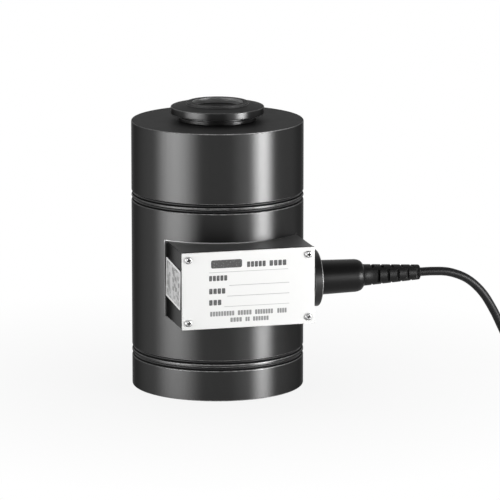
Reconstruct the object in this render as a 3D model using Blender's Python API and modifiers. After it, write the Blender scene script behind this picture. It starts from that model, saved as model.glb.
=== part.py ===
"""Canister load cell for compression: a turned spring element in a case tube, with a terminal box,
a nameplate and a cable gland on its side.

Metres, +Z up. The origin is the centre of the base face, on the axis of the body. The nameplate
faces -Y, and the cable leaves the terminal box along +X.
"""

import math

import bmesh
import bpy
from mathutils import Matrix, Vector

MM = 0.001

# Clearances
TOUCH = 0.3 * MM              # gap between two pieces that bear on each other
SLIDE = 0.3 * MM              # radial gap of a piece that slides over or into another

# Body
BODY_DIAMETER = 140 * MM
BASE_HEIGHT = 25.1 * MM
HEAD_HEIGHT = 57.2 * MM
TUBE_LENGTH = 120.4 * MM
TUBE_WALL = 3.7 * MM
RIM_CHAMFER = 1.0 * MM
SPIGOT_REACH = 12 * MM        # how far each head's spigot goes into the case tube
COLUMN_DIAMETER = 76 * MM
COLUMN_FILLET = 9 * MM
FOOT_DIAMETER = 110 * MM
FOOT_THICKNESS = 8 * MM
FOOT_SPIGOT_DIAMETER = 60 * MM
FOOT_SPIGOT_LENGTH = 24 * MM

# Sealed joints between the case tube and the heads
SEAL_GROOVE = 2.9 * MM        # height of the slot that holds one O-ring
UPPER_LAND = 1.8 * MM
LOWER_LAND = 2.4 * MM

# Load button
BUTTON_DIAMETER = 76 * MM
BUTTON_FOOT_DIAMETER = 63 * MM
BUTTON_FOOT_HEIGHT = 2.6 * MM
BUTTON_NECK_DIAMETER = 60 * MM
BUTTON_NECK_HEIGHT = 1.2 * MM
BUTTON_UNDERSIDE_RISE = 1.3 * MM
BUTTON_WALL_HEIGHT = 5.7 * MM
BUTTON_WALL_TAPER = 0.2 * MM  # how much smaller the wall's radius is at its foot
BUTTON_EDGE = 0.8 * MM
SHOULDER_RISE = 1.7 * MM
BOSS_DIAMETER = 50 * MM
BOSS_RISE = 1.9 * MM
RECESS_DIAMETER = 41 * MM
RECESS_DEPTH = 4.7 * MM
EYEBOLT_HOLE = 17.5 * MM
EYEBOLT_HOLE_DEPTH = 20 * MM
EYEBOLT_COUNTERSINK = 1.8 * MM
BUTTON_SPIGOT_DIAMETER = 40 * MM
BUTTON_SPIGOT_LENGTH = 30 * MM

# Terminal box
BOX_WIDTH = 109 * MM
BOX_HEIGHT = 62.2 * MM
BOX_CENTRE_ABOVE_TUBE_END = 65.4 * MM
BOX_WALL = 4 * MM
BOX_EDGE = 0.8 * MM
BOX_STANDOUT = 29.6 * MM      # from the body's side to the face of the nameplate
PLATE_THICKNESS = 1.5 * MM
PLATE_EDGE = 0.4 * MM
GASKET_THICKNESS = 1.0 * MM
GASKET_FRAME = 9 * MM

# Cover screws, M3 pan head
SCREW_INSET_X = 5.2 * MM
SCREW_INSET_Z = 5.6 * MM
SCREW_SHANK_DIAMETER = 3 * MM
SCREW_HEAD_DIAMETER = 5.8 * MM
SCREW_HEAD_HEIGHT = 2.0 * MM
SCREW_GRIP = 7 * MM           # how far the shank goes into the box
RECESS_WIDTH = 0.9 * MM
RECESS_SPAN = 3.2 * MM
RECESS_SINK = 1.1 * MM
PILLAR_DIAMETER = 10 * MM

# Foil label on the box's left side
LABEL_HEIGHT = 34 * MM
LABEL_FRONT_MARGIN = 2 * MM
LABEL_BACK_MARGIN = 4.7 * MM  # from the line where the box meets the case tube
LABEL_THICKNESS = 0.4 * MM

# Cable and gland
CABLE_DIAMETER = 7 * MM
GLAND_GASKET_DIAMETER = 42 * MM
GLAND_GASKET_THICKNESS = 1.2 * MM
FLANGE_DIAMETER = 46 * MM
FLANGE_THICKNESS = 7.2 * MM
FLANGE_CHAMFER = 0.6 * MM
FLANGE_BORE_GAP = 1.0 * MM
INNER_STUB_DIAMETER = 18 * MM
INNER_STUB_LENGTH = 7.0 * MM  # beyond the inner face of the box's wall
CABLE_INNER_LENGTH = 4 * MM   # beyond the inner stub
OUTER_STUB_DIAMETER = 21 * MM
OUTER_STUB_LENGTH = 15 * MM
LOCKNUT_ACROSS_FLATS = 24 * MM
LOCKNUT_THICKNESS = 4 * MM
LOCKNUT_FLOOR_GAP = 1.8 * MM  # between the nut and the curved floor of the box
WASHER_THICKNESS = 1 * MM
BUSH_LENGTH = 10.5 * MM
COLLAR_LENGTH = 3.2 * MM
SLEEVE_DIAMETER = 28 * MM
SLEEVE_END_DIAMETER = 26.4 * MM
SLEEVE_MOUTH_LENGTH = 7.3 * MM
SLEEVE_SHOULDER = 5.5 * MM
SLEEVE_LIP = 0.7 * MM

# Strain relief
RELIEF_LENGTH = 48 * MM       # beyond the sleeve
RELIEF_ROOT_DIAMETER = 17.7 * MM
RELIEF_TIP_DIAMETER = 12.1 * MM
RELIEF_TIP_EDGE = 0.8 * MM
RELIEF_WALL = 1.1 * MM        # of the tube that the slots leave round the cable
SLOT_PITCH = 8.25 * MM
SLOT_WIDTH = 2.2 * MM
SLOT_FIRST = 8.0 * MM         # from the sleeve's end to the first slot
SLOT_PAIRS = 5
SLOT_SHARE = 0.62             # part of the relief's width that a slot opens

# Terminal board in the box
BOARD_SETBACK = 13.6 * MM     # from the nameplate's face to the board's back
BOARD_WIDTH = 56 * MM
BOARD_HEIGHT = 34 * MM
BOARD_THICKNESS = 1.6 * MM
BOARD_SHIFT = -10 * MM
BOARD_SCREW_INSET = 4 * MM
BOARD_SCREW_GRIP = 6 * MM
BOSS_POST_DIAMETER = 6.4 * MM
BLOCK_WIDTH = 36 * MM
BLOCK_HEIGHT = 9 * MM
BLOCK_DEPTH = 7.5 * MM
BLOCK_DROP = 5 * MM           # of the terminal block below the board's middle
BLOCK_POLES = 6
WELL_DIAMETER = 4 * MM
WELL_DEPTH = 2.5 * MM
CLAMP_SCREW_LENGTH = 1.5 * MM
CLAMP_SCREW_SLOT = 0.7 * MM
CORE_DIAMETER = 1.3 * MM
CORE_SPACING = 1.7 * MM
CORE_STEPS = 13

# Strain gauges and their wiring
GAUGE_LENGTH = 14 * MM
GAUGE_ANGLE = math.radians(18)
GAUGE_THICKNESS = 0.4 * MM
WIRING_DIAMETER = 1.6 * MM
WIRING_DROP = 12 * MM         # of the ring of wire below the gauges' middle
LEAD_DIAMETER = 3.6 * MM
WIRE_HOLE_DIAMETER = 8 * MM

# Cable coil, stored beside the cell
COIL_CENTRE = Vector((0.318, -0.004, 0))
COIL_INNER_DIAMETER = 49 * MM
COIL_OUTER_DIAMETER = 119 * MM
COIL_HEIGHT = 28 * MM
COIL_ROUNDING = 3.5 * MM

# Facets round each kind of piece
BODY_STEPS = 52
BUTTON_STEPS = 36
SEAL_STEPS = 40
SEAL_FACETS = 5
GLAND_STEPS = 24
SMALL_STEPS = 10
WELL_STEPS = 8
SPAN_STEPS = 20               # fine points between two points of a cord's route


def reach_at(radius, x):
    """How far forward the side of an upright cylinder lies at x from its middle."""
    return math.sqrt(max(radius ** 2 - x ** 2, 0))


# Heights up the axis
base_top = BASE_HEIGHT
lower_land_low = base_top + SEAL_GROOVE
lower_land_top = lower_land_low + LOWER_LAND
tube_low = lower_land_top + SEAL_GROOVE
tube_top = tube_low + TUBE_LENGTH
upper_land_low = tube_top + SEAL_GROOVE
upper_land_top = upper_land_low + UPPER_LAND
head_low = upper_land_top + SEAL_GROOVE
rim = head_low + HEAD_HEIGHT
box_centre = tube_low + BOX_CENTRE_ABOVE_TUBE_END

# Radii of the body
body_radius = BODY_DIAMETER / 2
tube_bore = body_radius - TUBE_WALL
spigot_radius = tube_bore - SLIDE

# Faces of the terminal box
saddle_radius = body_radius + SLIDE
plate_face = body_radius + BOX_STANDOUT
plate_back = plate_face - PLATE_THICKNESS
gasket_front = plate_back - TOUCH
gasket_back = gasket_front - GASKET_THICKNESS
box_front = gasket_back - TOUCH
box_side = BOX_WIDTH / 2
inner_side = box_side - BOX_WALL
floor_radius = saddle_radius + BOX_WALL

# The gland's stack along X, from the box's side outwards
cable_radius = CABLE_DIAMETER / 2
gasket_start = box_side + TOUCH
flange_start = gasket_start + GLAND_GASKET_THICKNESS + TOUCH
flange_end = flange_start + FLANGE_THICKNESS
stub_end = flange_end + OUTER_STUB_LENGTH
washer_start = stub_end + TOUCH
bush_start = washer_start + WASHER_THICKNESS + TOUCH
collar_start = bush_start + BUSH_LENGTH + TOUCH
collar_end = collar_start + COLLAR_LENGTH
mouth_start = collar_end + TOUCH
sleeve_start = flange_end + TOUCH
sleeve_end = mouth_start + SLEEVE_MOUTH_LENGTH
relief_end = sleeve_end + RELIEF_LENGTH
stub_inner_end = inner_side - INNER_STUB_LENGTH
cable_inner_end = stub_inner_end - CABLE_INNER_LENGTH
sleeve_bore = OUTER_STUB_DIAMETER / 2 + SLIDE
relief_bore = cable_radius + SLIDE

# The gland's axis, set so that the locknut clears the box's curved floor
locknut_start = inner_side - TOUCH
locknut_end = locknut_start - LOCKNUT_THICKNESS
gland_reach = reach_at(floor_radius, locknut_end) + LOCKNUT_ACROSS_FLATS / 2 + LOCKNUT_FLOOR_GAP

# The terminal board
board_back = plate_face - BOARD_SETBACK
board_front = board_back + BOARD_THICKNESS
block_front = board_front + TOUCH + BLOCK_DEPTH
block_middle = box_centre - BLOCK_DROP


def linear(value):
    """One sRGB channel from 0 to 1 as linear light."""
    if value <= 0.04045:
        return value / 12.92
    return ((value + 0.055) / 1.055) ** 2.4


def finish(name, colour, roughness, metallic=0.0):
    """A Principled material from an sRGB hex colour."""
    material = bpy.data.materials.new(name)
    material.use_nodes = True
    shader = material.node_tree.nodes["Principled BSDF"]
    channels = [linear(int(colour[i:i + 2], 16) / 255) for i in (0, 2, 4)]
    shader.inputs["Base Color"].default_value = (*channels, 1)
    shader.inputs["Roughness"].default_value = roughness
    shader.inputs["Metallic"].default_value = metallic
    material.diffuse_color = (*channels, 1)
    return material


def clear_scene():
    for obj in list(bpy.data.objects):
        bpy.data.objects.remove(obj, do_unlink=True)


def new_collection(name):
    collection = bpy.data.collections.new(name)
    bpy.context.scene.collection.children.link(collection)
    return collection


def place(name, data, material=None):
    """A new object in the part's collection, or with no material a cutter in the cutters' one."""
    obj = bpy.data.objects.new(name, data)
    if material is None:
        cutters.objects.link(obj)
        obj.hide_render = True
        obj.display_type = "WIRE"
    else:
        part.objects.link(obj)
        data.materials.append(material)
    return obj


def along_gland(obj):
    """Turns a piece that was drawn along Z onto the gland's axis."""
    axis_at = Matrix.Translation((0, -gland_reach, box_centre))
    obj.matrix_world = axis_at @ Matrix.Rotation(math.pi / 2, 4, "Y")


def turned(name, profile, steps, material=None, closed=False, angle=2 * math.pi):
    """A lathe profile of (radius, height) points, from the top of its outer side downwards."""
    mesh = bpy.data.meshes.new(name)
    points = [(radius, 0, height) for radius, height in profile]
    edges = [(i, i + 1) for i in range(len(points) - 1)]
    if closed:
        edges.append((len(points) - 1, 0))
    mesh.from_pydata(points, edges, [])
    obj = place(name, mesh, material)
    screw = obj.modifiers.new("Turn", "SCREW")
    screw.axis = "Z"
    screw.angle = angle
    screw.steps = steps
    screw.render_steps = steps
    screw.use_merge_vertices = angle == 2 * math.pi
    screw.merge_threshold = 0.00001
    return obj


def ring(name, outer, inner, low, high, steps, material=None):
    """A flat ring between two heights."""
    profile = [(outer, high), (outer, low), (inner, low), (inner, high)]
    return turned(name, profile, steps, material, closed=True)


def seal_ring(name, bore, low, high, material):
    """An O-ring on a spigot, standing between two faces."""
    section = (high - low) / 2 - TOUCH
    middle = (low + high) / 2
    centre = bore + SLIDE + section
    turns = [math.tau * i / SEAL_FACETS for i in range(SEAL_FACETS)]
    profile = [(centre + section * math.sin(turn), middle + section * math.cos(turn)) for turn in turns]
    return turned(name, profile, SEAL_STEPS, material, closed=True)


def block(name, size, centre, material=None):
    """A rectangular block at its place."""
    mesh = bpy.data.meshes.new(name)
    shape = bmesh.new()
    bmesh.ops.create_cube(shape, size=1)
    bmesh.ops.scale(shape, vec=size, verts=shape.verts)
    shape.to_mesh(mesh)
    shape.free()
    obj = place(name, mesh, material)
    obj.location = centre
    return obj


def rod(name, radius, start, end, steps=SMALL_STEPS, material=None):
    """A round bar from one point to another."""
    start, end = Vector(start), Vector(end)
    mesh = bpy.data.meshes.new(name)
    shape = bmesh.new()
    bmesh.ops.create_cone(
        shape, cap_ends=True, segments=steps, radius1=radius, radius2=radius, depth=(end - start).length,
    )
    shape.to_mesh(mesh)
    shape.free()
    obj = place(name, mesh, material)
    obj.rotation_mode = "QUATERNION"
    obj.rotation_quaternion = (end - start).to_track_quat("Z", "Y")
    obj.location = (start + end) / 2
    return obj


def boolean(target, tool, operation="DIFFERENCE"):
    """Cuts a tool out of a piece, or joins it on."""
    modifier = target.modifiers.new(tool.name, "BOOLEAN")
    modifier.operation = operation
    modifier.solver = "EXACT"
    modifier.object = tool


def eased(obj, width):
    """Takes the sharpness off a block's edges."""
    modifier = obj.modifiers.new("Edges", "BEVEL")
    modifier.width = width
    modifier.segments = 1


def wire(name, points, diameter, material, resolution=2, closed=False):
    """A cord or a wire along its points."""
    curve = bpy.data.curves.new(name, "CURVE")
    curve.dimensions = "3D"
    curve.bevel_depth = diameter / 2
    curve.bevel_resolution = resolution
    curve.use_fill_caps = True
    spline = curve.splines.new("POLY")
    spline.points.add(len(points) - 1)
    for point, place_at in zip(spline.points, points):
        point.co = (*place_at, 1)
    spline.use_cyclic_u = closed
    return place(name, curve, material)


def smooth_curve(route, count):
    """Evenly spaced points on a smooth curve through the points of a route."""
    route = [Vector(point) for point in route]
    ends = [2 * route[0] - route[1], *route, 2 * route[-1] - route[-2]]
    fine = []
    for a, b, c, d in zip(ends, ends[1:], ends[2:], ends[3:]):
        for step in range(SPAN_STEPS):
            t = step / SPAN_STEPS
            fine.append(0.5 * (2 * b + (c - a) * t + (2 * a - 5 * b + 4 * c - d) * t ** 2
                               + (3 * b - a - 3 * c + d) * t ** 3))
    fine.append(route[-1])
    reach = [0.0]
    for a, b in zip(fine, fine[1:]):
        reach.append(reach[-1] + (b - a).length)
    points = []
    piece = 0
    for i in range(count):
        wanted = reach[-1] * i / (count - 1)
        while piece < len(fine) - 2 and reach[piece + 1] < wanted:
            piece += 1
        share = (wanted - reach[piece]) / (reach[piece + 1] - reach[piece])
        points.append(fine[piece].lerp(fine[piece + 1], min(share, 1)))
    return points


def screw_profile(grip, under_head):
    """A pan head over a shank, from the head's crown to the tip, with the head's seat at zero."""
    head = SCREW_HEAD_DIAMETER / 2
    shank = SCREW_SHANK_DIAMETER / 2
    length = under_head + grip
    return [
        (0, SCREW_HEAD_HEIGHT),
        (head * 0.7, SCREW_HEAD_HEIGHT * 0.88),
        (head, SCREW_HEAD_HEIGHT * 0.35),
        (head, 0),
        (shank, 0),
        (shank, -length),
        (0, -length),
    ]


def front_screw(name, x, z, seat_reach, under_head, grip, material):
    """A pan-head screw that goes in from the front, with its head on the face at seat_reach."""
    screw = turned(name, screw_profile(grip, under_head), SMALL_STEPS, material)
    seat = Vector((x, -seat_reach - TOUCH, z))
    screw.matrix_world = Matrix.Translation(seat) @ Matrix.Rotation(math.pi / 2, 4, "X")
    for i, size in enumerate(((RECESS_SPAN, RECESS_WIDTH), (RECESS_WIDTH, RECESS_SPAN))):
        centre = seat + Vector((0, -SCREW_HEAD_HEIGHT, 0))
        boolean(screw, block(f"{name}_recess_{i}", (size[0], 2 * RECESS_SINK, size[1]), centre))


def build_base():
    """Base with the lower spigot of the case tube and a bore for the foot of the spring element."""
    seat = tube_low + SPIGOT_REACH
    bore = FOOT_SPIGOT_DIAMETER / 2 + SLIDE
    profile = [
        (0, seat - FOOT_SPIGOT_LENGTH),
        (bore, seat - FOOT_SPIGOT_LENGTH),
        (bore, seat),
        (spigot_radius, seat),
        (spigot_radius, base_top),
        (body_radius - RIM_CHAMFER, base_top),
        (body_radius, base_top - RIM_CHAMFER),
        (body_radius, RIM_CHAMFER),
        (body_radius - RIM_CHAMFER, 0),
        (0, 0),
    ]
    turned("base", profile, BODY_STEPS, black_steel)


def build_spring_element():
    """Foot, column and top head, turned from one steel bar. The foot is screwed into the base."""
    column = COLUMN_DIAMETER / 2
    foot = FOOT_DIAMETER / 2
    foot_spigot = FOOT_SPIGOT_DIAMETER / 2
    foot_low = tube_low + SPIGOT_REACH + TOUCH
    low = foot_low + FOOT_THICKNESS
    high = tube_top - SPIGOT_REACH
    bore = BUTTON_SPIGOT_DIAMETER / 2 + SLIDE
    turns = [math.radians(angle) for angle in (0, 45, 90)]
    upper_fillet = [
        (column + COLUMN_FILLET * (1 - math.cos(turn)), high - COLUMN_FILLET * (1 - math.sin(turn)))
        for turn in reversed(turns)
    ]
    lower_fillet = [
        (column + COLUMN_FILLET * (1 - math.cos(turn)), low + COLUMN_FILLET * (1 - math.sin(turn)))
        for turn in turns
    ]
    profile = [
        (0, rim - BUTTON_SPIGOT_LENGTH - TOUCH),
        (bore, rim - BUTTON_SPIGOT_LENGTH - TOUCH),
        (bore, rim),
        (body_radius - RIM_CHAMFER, rim),
        (body_radius, rim - RIM_CHAMFER),
        (body_radius, head_low),
        (spigot_radius, head_low),
        (spigot_radius, high),
        *upper_fillet,
        *lower_fillet,
        (foot, low),
        (foot, foot_low),
        (foot_spigot, foot_low),
        (foot_spigot, foot_low - FOOT_SPIGOT_LENGTH),
        (0, foot_low - FOOT_SPIGOT_LENGTH),
    ]
    turned("spring_element", profile, BODY_STEPS, black_steel)


def build_load_button():
    """Load button: foot ring, undercut neck, wall, low shoulder, and a boss with an eyebolt hole."""
    foot = rim + TOUCH
    neck_low = foot + BUTTON_FOOT_HEIGHT
    neck_top = neck_low + BUTTON_NECK_HEIGHT
    wall_low = neck_top + BUTTON_UNDERSIDE_RISE
    wall_top = wall_low + BUTTON_WALL_HEIGHT
    boss_low = wall_top + SHOULDER_RISE
    boss_top = boss_low + BOSS_RISE
    outer = BUTTON_DIAMETER / 2
    wall_foot = outer - BUTTON_WALL_TAPER
    foot_ring = BUTTON_FOOT_DIAMETER / 2
    neck = BUTTON_NECK_DIAMETER / 2
    boss = BOSS_DIAMETER / 2
    recess = RECESS_DIAMETER / 2
    floor = boss_top - RECESS_DEPTH
    hole = EYEBOLT_HOLE / 2
    spigot = BUTTON_SPIGOT_DIAMETER / 2
    shoulder = [
        (outer - BUTTON_EDGE + (boss - outer + BUTTON_EDGE) * share, wall_top + SHOULDER_RISE * share ** 0.8)
        for share in (0, 0.35, 0.7, 1)
    ]
    profile = [
        (0, floor - EYEBOLT_HOLE_DEPTH),
        (hole, floor - EYEBOLT_HOLE_DEPTH),
        (hole, floor - EYEBOLT_COUNTERSINK),
        (hole + EYEBOLT_COUNTERSINK, floor),
        (recess, floor),
        (recess, boss_top),
        (boss - BUTTON_EDGE / 2, boss_top),
        (boss, boss_top - BUTTON_EDGE / 2),
        *reversed(shoulder),
        (outer, wall_top - BUTTON_EDGE),
        (wall_foot, wall_low),
        (neck, neck_top),
        (neck, neck_low),
        (foot_ring - BUTTON_EDGE / 2, neck_low),
        (foot_ring, neck_low - BUTTON_EDGE / 2),
        (foot_ring, foot),
        (spigot, foot),
        (spigot, rim - BUTTON_SPIGOT_LENGTH),
        (0, rim - BUTTON_SPIGOT_LENGTH),
    ]
    turned("load_button", profile, BUTTON_STEPS, black_steel)


def build_case():
    """Case tube, with the wire hole behind the terminal box, and the seals at its ends."""
    tube = turned(
        "case_tube",
        [
            (body_radius - RIM_CHAMFER, tube_top),
            (body_radius, tube_top - RIM_CHAMFER),
            (body_radius, tube_low + RIM_CHAMFER),
            (body_radius - RIM_CHAMFER, tube_low),
            (tube_bore, tube_low),
            (tube_bore, tube_top),
        ],
        BODY_STEPS, black_steel, closed=True,
    )
    hole_start = (0, -tube_bore + TUBE_WALL, box_centre)
    hole_end = (0, -body_radius - TUBE_WALL, box_centre)
    boolean(tube, rod("tube_wire_hole", WIRE_HOLE_DIAMETER / 2, hole_start, hole_end))

    seal_ring("lower_o_ring_bottom", spigot_radius, base_top, lower_land_low, rubber)
    seal_ring("lower_o_ring_top", spigot_radius, lower_land_top, tube_low, rubber)
    seal_ring("upper_o_ring_bottom", spigot_radius, tube_top, upper_land_low, rubber)
    seal_ring("upper_o_ring_top", spigot_radius, upper_land_top, head_low, rubber)
    for name, low, high in (
        ("lower_spacer_ring", lower_land_low, lower_land_top),
        ("upper_spacer_ring", upper_land_low, upper_land_top),
    ):
        ring(name, body_radius, tube_bore, low, high, BODY_STEPS, black_steel)


def screw_places():
    """Centres of the four cover screws, left before right and bottom before top."""
    across = box_side - SCREW_INSET_X
    up = BOX_HEIGHT / 2 - SCREW_INSET_Z
    return [(x, box_centre + z) for x in (-across, across) for z in (-up, up)]


def board_screw_places():
    across = BOARD_WIDTH / 2 - BOARD_SCREW_INSET
    up = BOARD_HEIGHT / 2 - BOARD_SCREW_INSET
    return [(BOARD_SHIFT + x, box_centre + z) for x in (-across, across) for z in (-up, up)]


def build_terminal_box():
    """Box with its back cut to sit on the case tube, screw pillars in its corners and board posts."""
    box = block(
        "terminal_box", (BOX_WIDTH, box_front, BOX_HEIGHT), (0, -box_front / 2, box_centre), black_paint
    )
    eased(box, BOX_EDGE)

    cavity_size = (2 * inner_side, 2 * box_front, BOX_HEIGHT - 2 * BOX_WALL)
    cavity = block("box_cavity", cavity_size, (0, -box_front, box_centre))
    boolean(cavity, rod("cavity_floor", floor_radius, (0, 0, 0), (0, 0, rim), BODY_STEPS))
    for i, (x, z) in enumerate(screw_places(), 1):
        pillar = rod(f"pillar_{i}", PILLAR_DIAMETER / 2, (x, 0, z), (x, -3 * box_front, z))
        boolean(cavity, pillar)
    boolean(box, cavity)

    for i, (x, z) in enumerate(board_screw_places(), 1):
        post = rod(f"board_post_{i}", BOSS_POST_DIAMETER / 2, (x, 0, z), (x, TOUCH - board_back, z))
        boolean(box, post, "UNION")
    boolean(box, rod("saddle", saddle_radius, (0, 0, 0), (0, 0, rim), BODY_STEPS))

    hole = SCREW_SHANK_DIAMETER / 2 + SLIDE
    for i, (x, z) in enumerate(screw_places(), 1):
        depth = SCREW_GRIP + SLIDE
        boolean(box, rod(f"cover_hole_{i}", hole, (x, depth - box_front, z), (x, -box_front - depth, z)))
    for i, (x, z) in enumerate(board_screw_places(), 1):
        depth = BOARD_SCREW_GRIP + SLIDE
        boolean(box, rod(f"post_hole_{i}", hole, (x, depth - board_back, z), (x, -board_back - depth, z)))
    hole_end = (0, -floor_radius - BOX_WALL, box_centre)
    boolean(box, rod("rear_wire_hole", WIRE_HOLE_DIAMETER / 2, (0, 0, box_centre), hole_end))
    gland_hole = INNER_STUB_DIAMETER / 2 + SLIDE
    hole_start = (inner_side - BOX_WALL, -gland_reach, box_centre)
    hole_end = (box_side + BOX_WALL, -gland_reach, box_centre)
    boolean(box, rod("gland_hole", gland_hole, hole_start, hole_end, GLAND_STEPS))


def build_cover():
    """Gasket, nameplate and the four screws that hold them on the box."""
    hole = SCREW_SHANK_DIAMETER / 2 + SLIDE
    middle = (gasket_front + gasket_back) / 2
    size = (BOX_WIDTH, GASKET_THICKNESS, BOX_HEIGHT)
    gasket = block("cover_gasket", size, (0, -middle, box_centre), rubber)
    window = (BOX_WIDTH - 2 * GASKET_FRAME, 3 * GASKET_THICKNESS, BOX_HEIGHT - 2 * GASKET_FRAME)
    boolean(gasket, block("gasket_window", window, (0, -middle, box_centre)))

    plate_middle = (plate_face + plate_back) / 2
    size = (BOX_WIDTH, PLATE_THICKNESS, BOX_HEIGHT)
    plate = block("name_plate", size, (0, -plate_middle, box_centre), white_enamel)
    eased(plate, PLATE_EDGE)
    for i, (x, z) in enumerate(screw_places(), 1):
        through = rod(f"plate_hole_{i}", hole, (x, -box_front, z), (x, -plate_face - GASKET_THICKNESS, z))
        boolean(gasket, through)
        boolean(plate, through)
        front_screw(f"cover_screw_{i}", x, z, plate_face, plate_face - box_front, SCREW_GRIP, zinc)

    label_back = reach_at(saddle_radius, box_side) + LABEL_BACK_MARGIN
    label_front = plate_back - LABEL_FRONT_MARGIN
    block(
        "side_label", (LABEL_THICKNESS, label_front - label_back, LABEL_HEIGHT),
        (-box_side - TOUCH - LABEL_THICKNESS / 2, -(label_back + label_front) / 2, box_centre), foil,
    )


def build_gland():
    """Gasket, flange, locknut, washer, bush and sleeve, from the box's side outwards."""
    bore = cable_radius + FLANGE_BORE_GAP
    flange = FLANGE_DIAMETER / 2
    inner_stub = INNER_STUB_DIAMETER / 2
    outer_stub = OUTER_STUB_DIAMETER / 2
    gasket = ring(
        "gland_gasket", GLAND_GASKET_DIAMETER / 2, inner_stub + SLIDE, gasket_start,
        gasket_start + GLAND_GASKET_THICKNESS, GLAND_STEPS, rubber,
    )
    body = turned(
        "gland_flange",
        [
            (outer_stub, stub_end),
            (outer_stub, flange_end),
            (flange - FLANGE_CHAMFER, flange_end),
            (flange, flange_end - FLANGE_CHAMFER),
            (flange, flange_start + FLANGE_CHAMFER),
            (flange - FLANGE_CHAMFER, flange_start),
            (inner_stub, flange_start),
            (inner_stub, stub_inner_end),
            (bore, stub_inner_end),
            (bore, stub_end),
        ],
        BUTTON_STEPS, plated_brass, closed=True,
    )
    nut_face = Vector((locknut_start, -gland_reach, box_centre))
    nut_back = Vector((locknut_end, -gland_reach, box_centre))
    nut_corner = LOCKNUT_ACROSS_FLATS / math.sqrt(3)
    nut = rod("gland_locknut", nut_corner, nut_face, nut_back, 6, plated_brass)
    past = nut_face - nut_back
    nut_bore = rod("locknut_bore", inner_stub + SLIDE, nut_face + past, nut_back - past, GLAND_STEPS)
    boolean(nut, nut_bore)
    washer_end = washer_start + WASHER_THICKNESS
    washer = ring("gland_washer", outer_stub, relief_bore, washer_start, washer_end, GLAND_STEPS, zinc)
    bush_end = bush_start + BUSH_LENGTH
    bush = ring("gland_bush", outer_stub, relief_bore, bush_start, bush_end, GLAND_STEPS, rubber)

    mouth = RELIEF_ROOT_DIAMETER / 2 + SLIDE
    sleeve_root = SLEEVE_DIAMETER / 2
    sleeve_tip = SLEEVE_END_DIAMETER / 2
    shoulder_start = sleeve_end - SLEEVE_SHOULDER
    lip = mouth + SLEEVE_LIP
    turns = [math.radians(angle) for angle in (90, 68, 45, 22, 0)]
    shoulder = [
        (lip + (sleeve_tip - lip) * math.cos(turn), shoulder_start + SLEEVE_SHOULDER * math.sin(turn))
        for turn in turns
    ]
    sleeve = turned(
        "gland_sleeve",
        [
            *shoulder,
            (sleeve_root, sleeve_start),
            (sleeve_bore, sleeve_start),
            (sleeve_bore, mouth_start),
            (mouth, mouth_start),
            (mouth, sleeve_end),
        ],
        GLAND_STEPS, black_nylon, closed=True,
    )
    for piece in (gasket, body, washer, bush, sleeve):
        along_gland(piece)


def build_strain_relief():
    """Tapered rubber boot. Pairs of slots open it in turn from top and bottom, and from the sides."""
    root = RELIEF_ROOT_DIAMETER / 2
    tip = RELIEF_TIP_DIAMETER / 2
    relief = turned(
        "strain_relief",
        [
            (tip - RELIEF_TIP_EDGE, relief_end),
            (tip, relief_end - RELIEF_TIP_EDGE),
            (root, sleeve_end),
            (root, collar_end),
            (OUTER_STUB_DIAMETER / 2, collar_end),
            (OUTER_STUB_DIAMETER / 2, collar_start),
            (relief_bore, collar_start),
            (relief_bore, relief_end),
        ],
        GLAND_STEPS, rubber, closed=True,
    )
    along_gland(relief)
    core = relief_bore + RELIEF_WALL
    for i in range(2 * SLOT_PAIRS):
        x = sleeve_end + SLOT_FIRST + i * SLOT_PITCH / 2
        radius = root + (tip - root) * (x - sleeve_end) / RELIEF_LENGTH
        width = 2 * radius * SLOT_SHARE
        height = 2 * (root - core)
        for side in (-1, 1):
            offset = side * (core + height / 2)
            size = (SLOT_WIDTH, width, height)
            centre = Vector((x, -gland_reach, box_centre + offset))
            if i % 2:
                size = (SLOT_WIDTH, height, width)
                centre = Vector((x, -gland_reach + offset, box_centre))
            boolean(relief, block(f"slot_{i}_{side}", size, centre))


def build_board():
    """Terminal board on four posts in the box, with its terminal block and the clamp screws."""
    middle = (board_back + board_front) / 2
    size = (BOARD_WIDTH, BOARD_THICKNESS, BOARD_HEIGHT)
    board = block("terminal_board", size, (BOARD_SHIFT, -middle, box_centre), board_green)
    hole = SCREW_SHANK_DIAMETER / 2 + SLIDE
    for i, (x, z) in enumerate(board_screw_places(), 1):
        boolean(board, rod(f"board_hole_{i}", hole, (x, 0, z), (x, -plate_face, z)))
        front_screw(f"board_screw_{i}", x, z, board_front, BOARD_THICKNESS, BOARD_SCREW_GRIP, zinc)

    size = (BLOCK_WIDTH, BLOCK_DEPTH, BLOCK_HEIGHT)
    centre = (BOARD_SHIFT, BLOCK_DEPTH / 2 - block_front, block_middle)
    terminals = block("terminal_block", size, centre, grey_nylon)
    pitch = BLOCK_WIDTH / BLOCK_POLES
    for i in range(BLOCK_POLES):
        x = BOARD_SHIFT + (i - (BLOCK_POLES - 1) / 2) * pitch
        well_floor = Vector((x, WELL_DEPTH - block_front, block_middle))
        well_mouth = Vector((x, -WELL_DEPTH - block_front, block_middle))
        boolean(terminals, rod(f"pole_well_{i}", WELL_DIAMETER / 2, well_floor, well_mouth, WELL_STEPS))
        screw_foot = well_floor - Vector((0, TOUCH, 0))
        screw_face = screw_foot - Vector((0, CLAMP_SCREW_LENGTH, 0))
        screw_radius = WELL_DIAMETER / 2 - SLIDE
        screw = rod(f"clamp_screw_{i + 1}", screw_radius, screw_foot, screw_face, WELL_STEPS, zinc)
        slot_size = (WELL_DIAMETER, CLAMP_SCREW_LENGTH, CLAMP_SCREW_SLOT)
        boolean(screw, block(f"clamp_slot_{i}", slot_size, screw_face))


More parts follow.
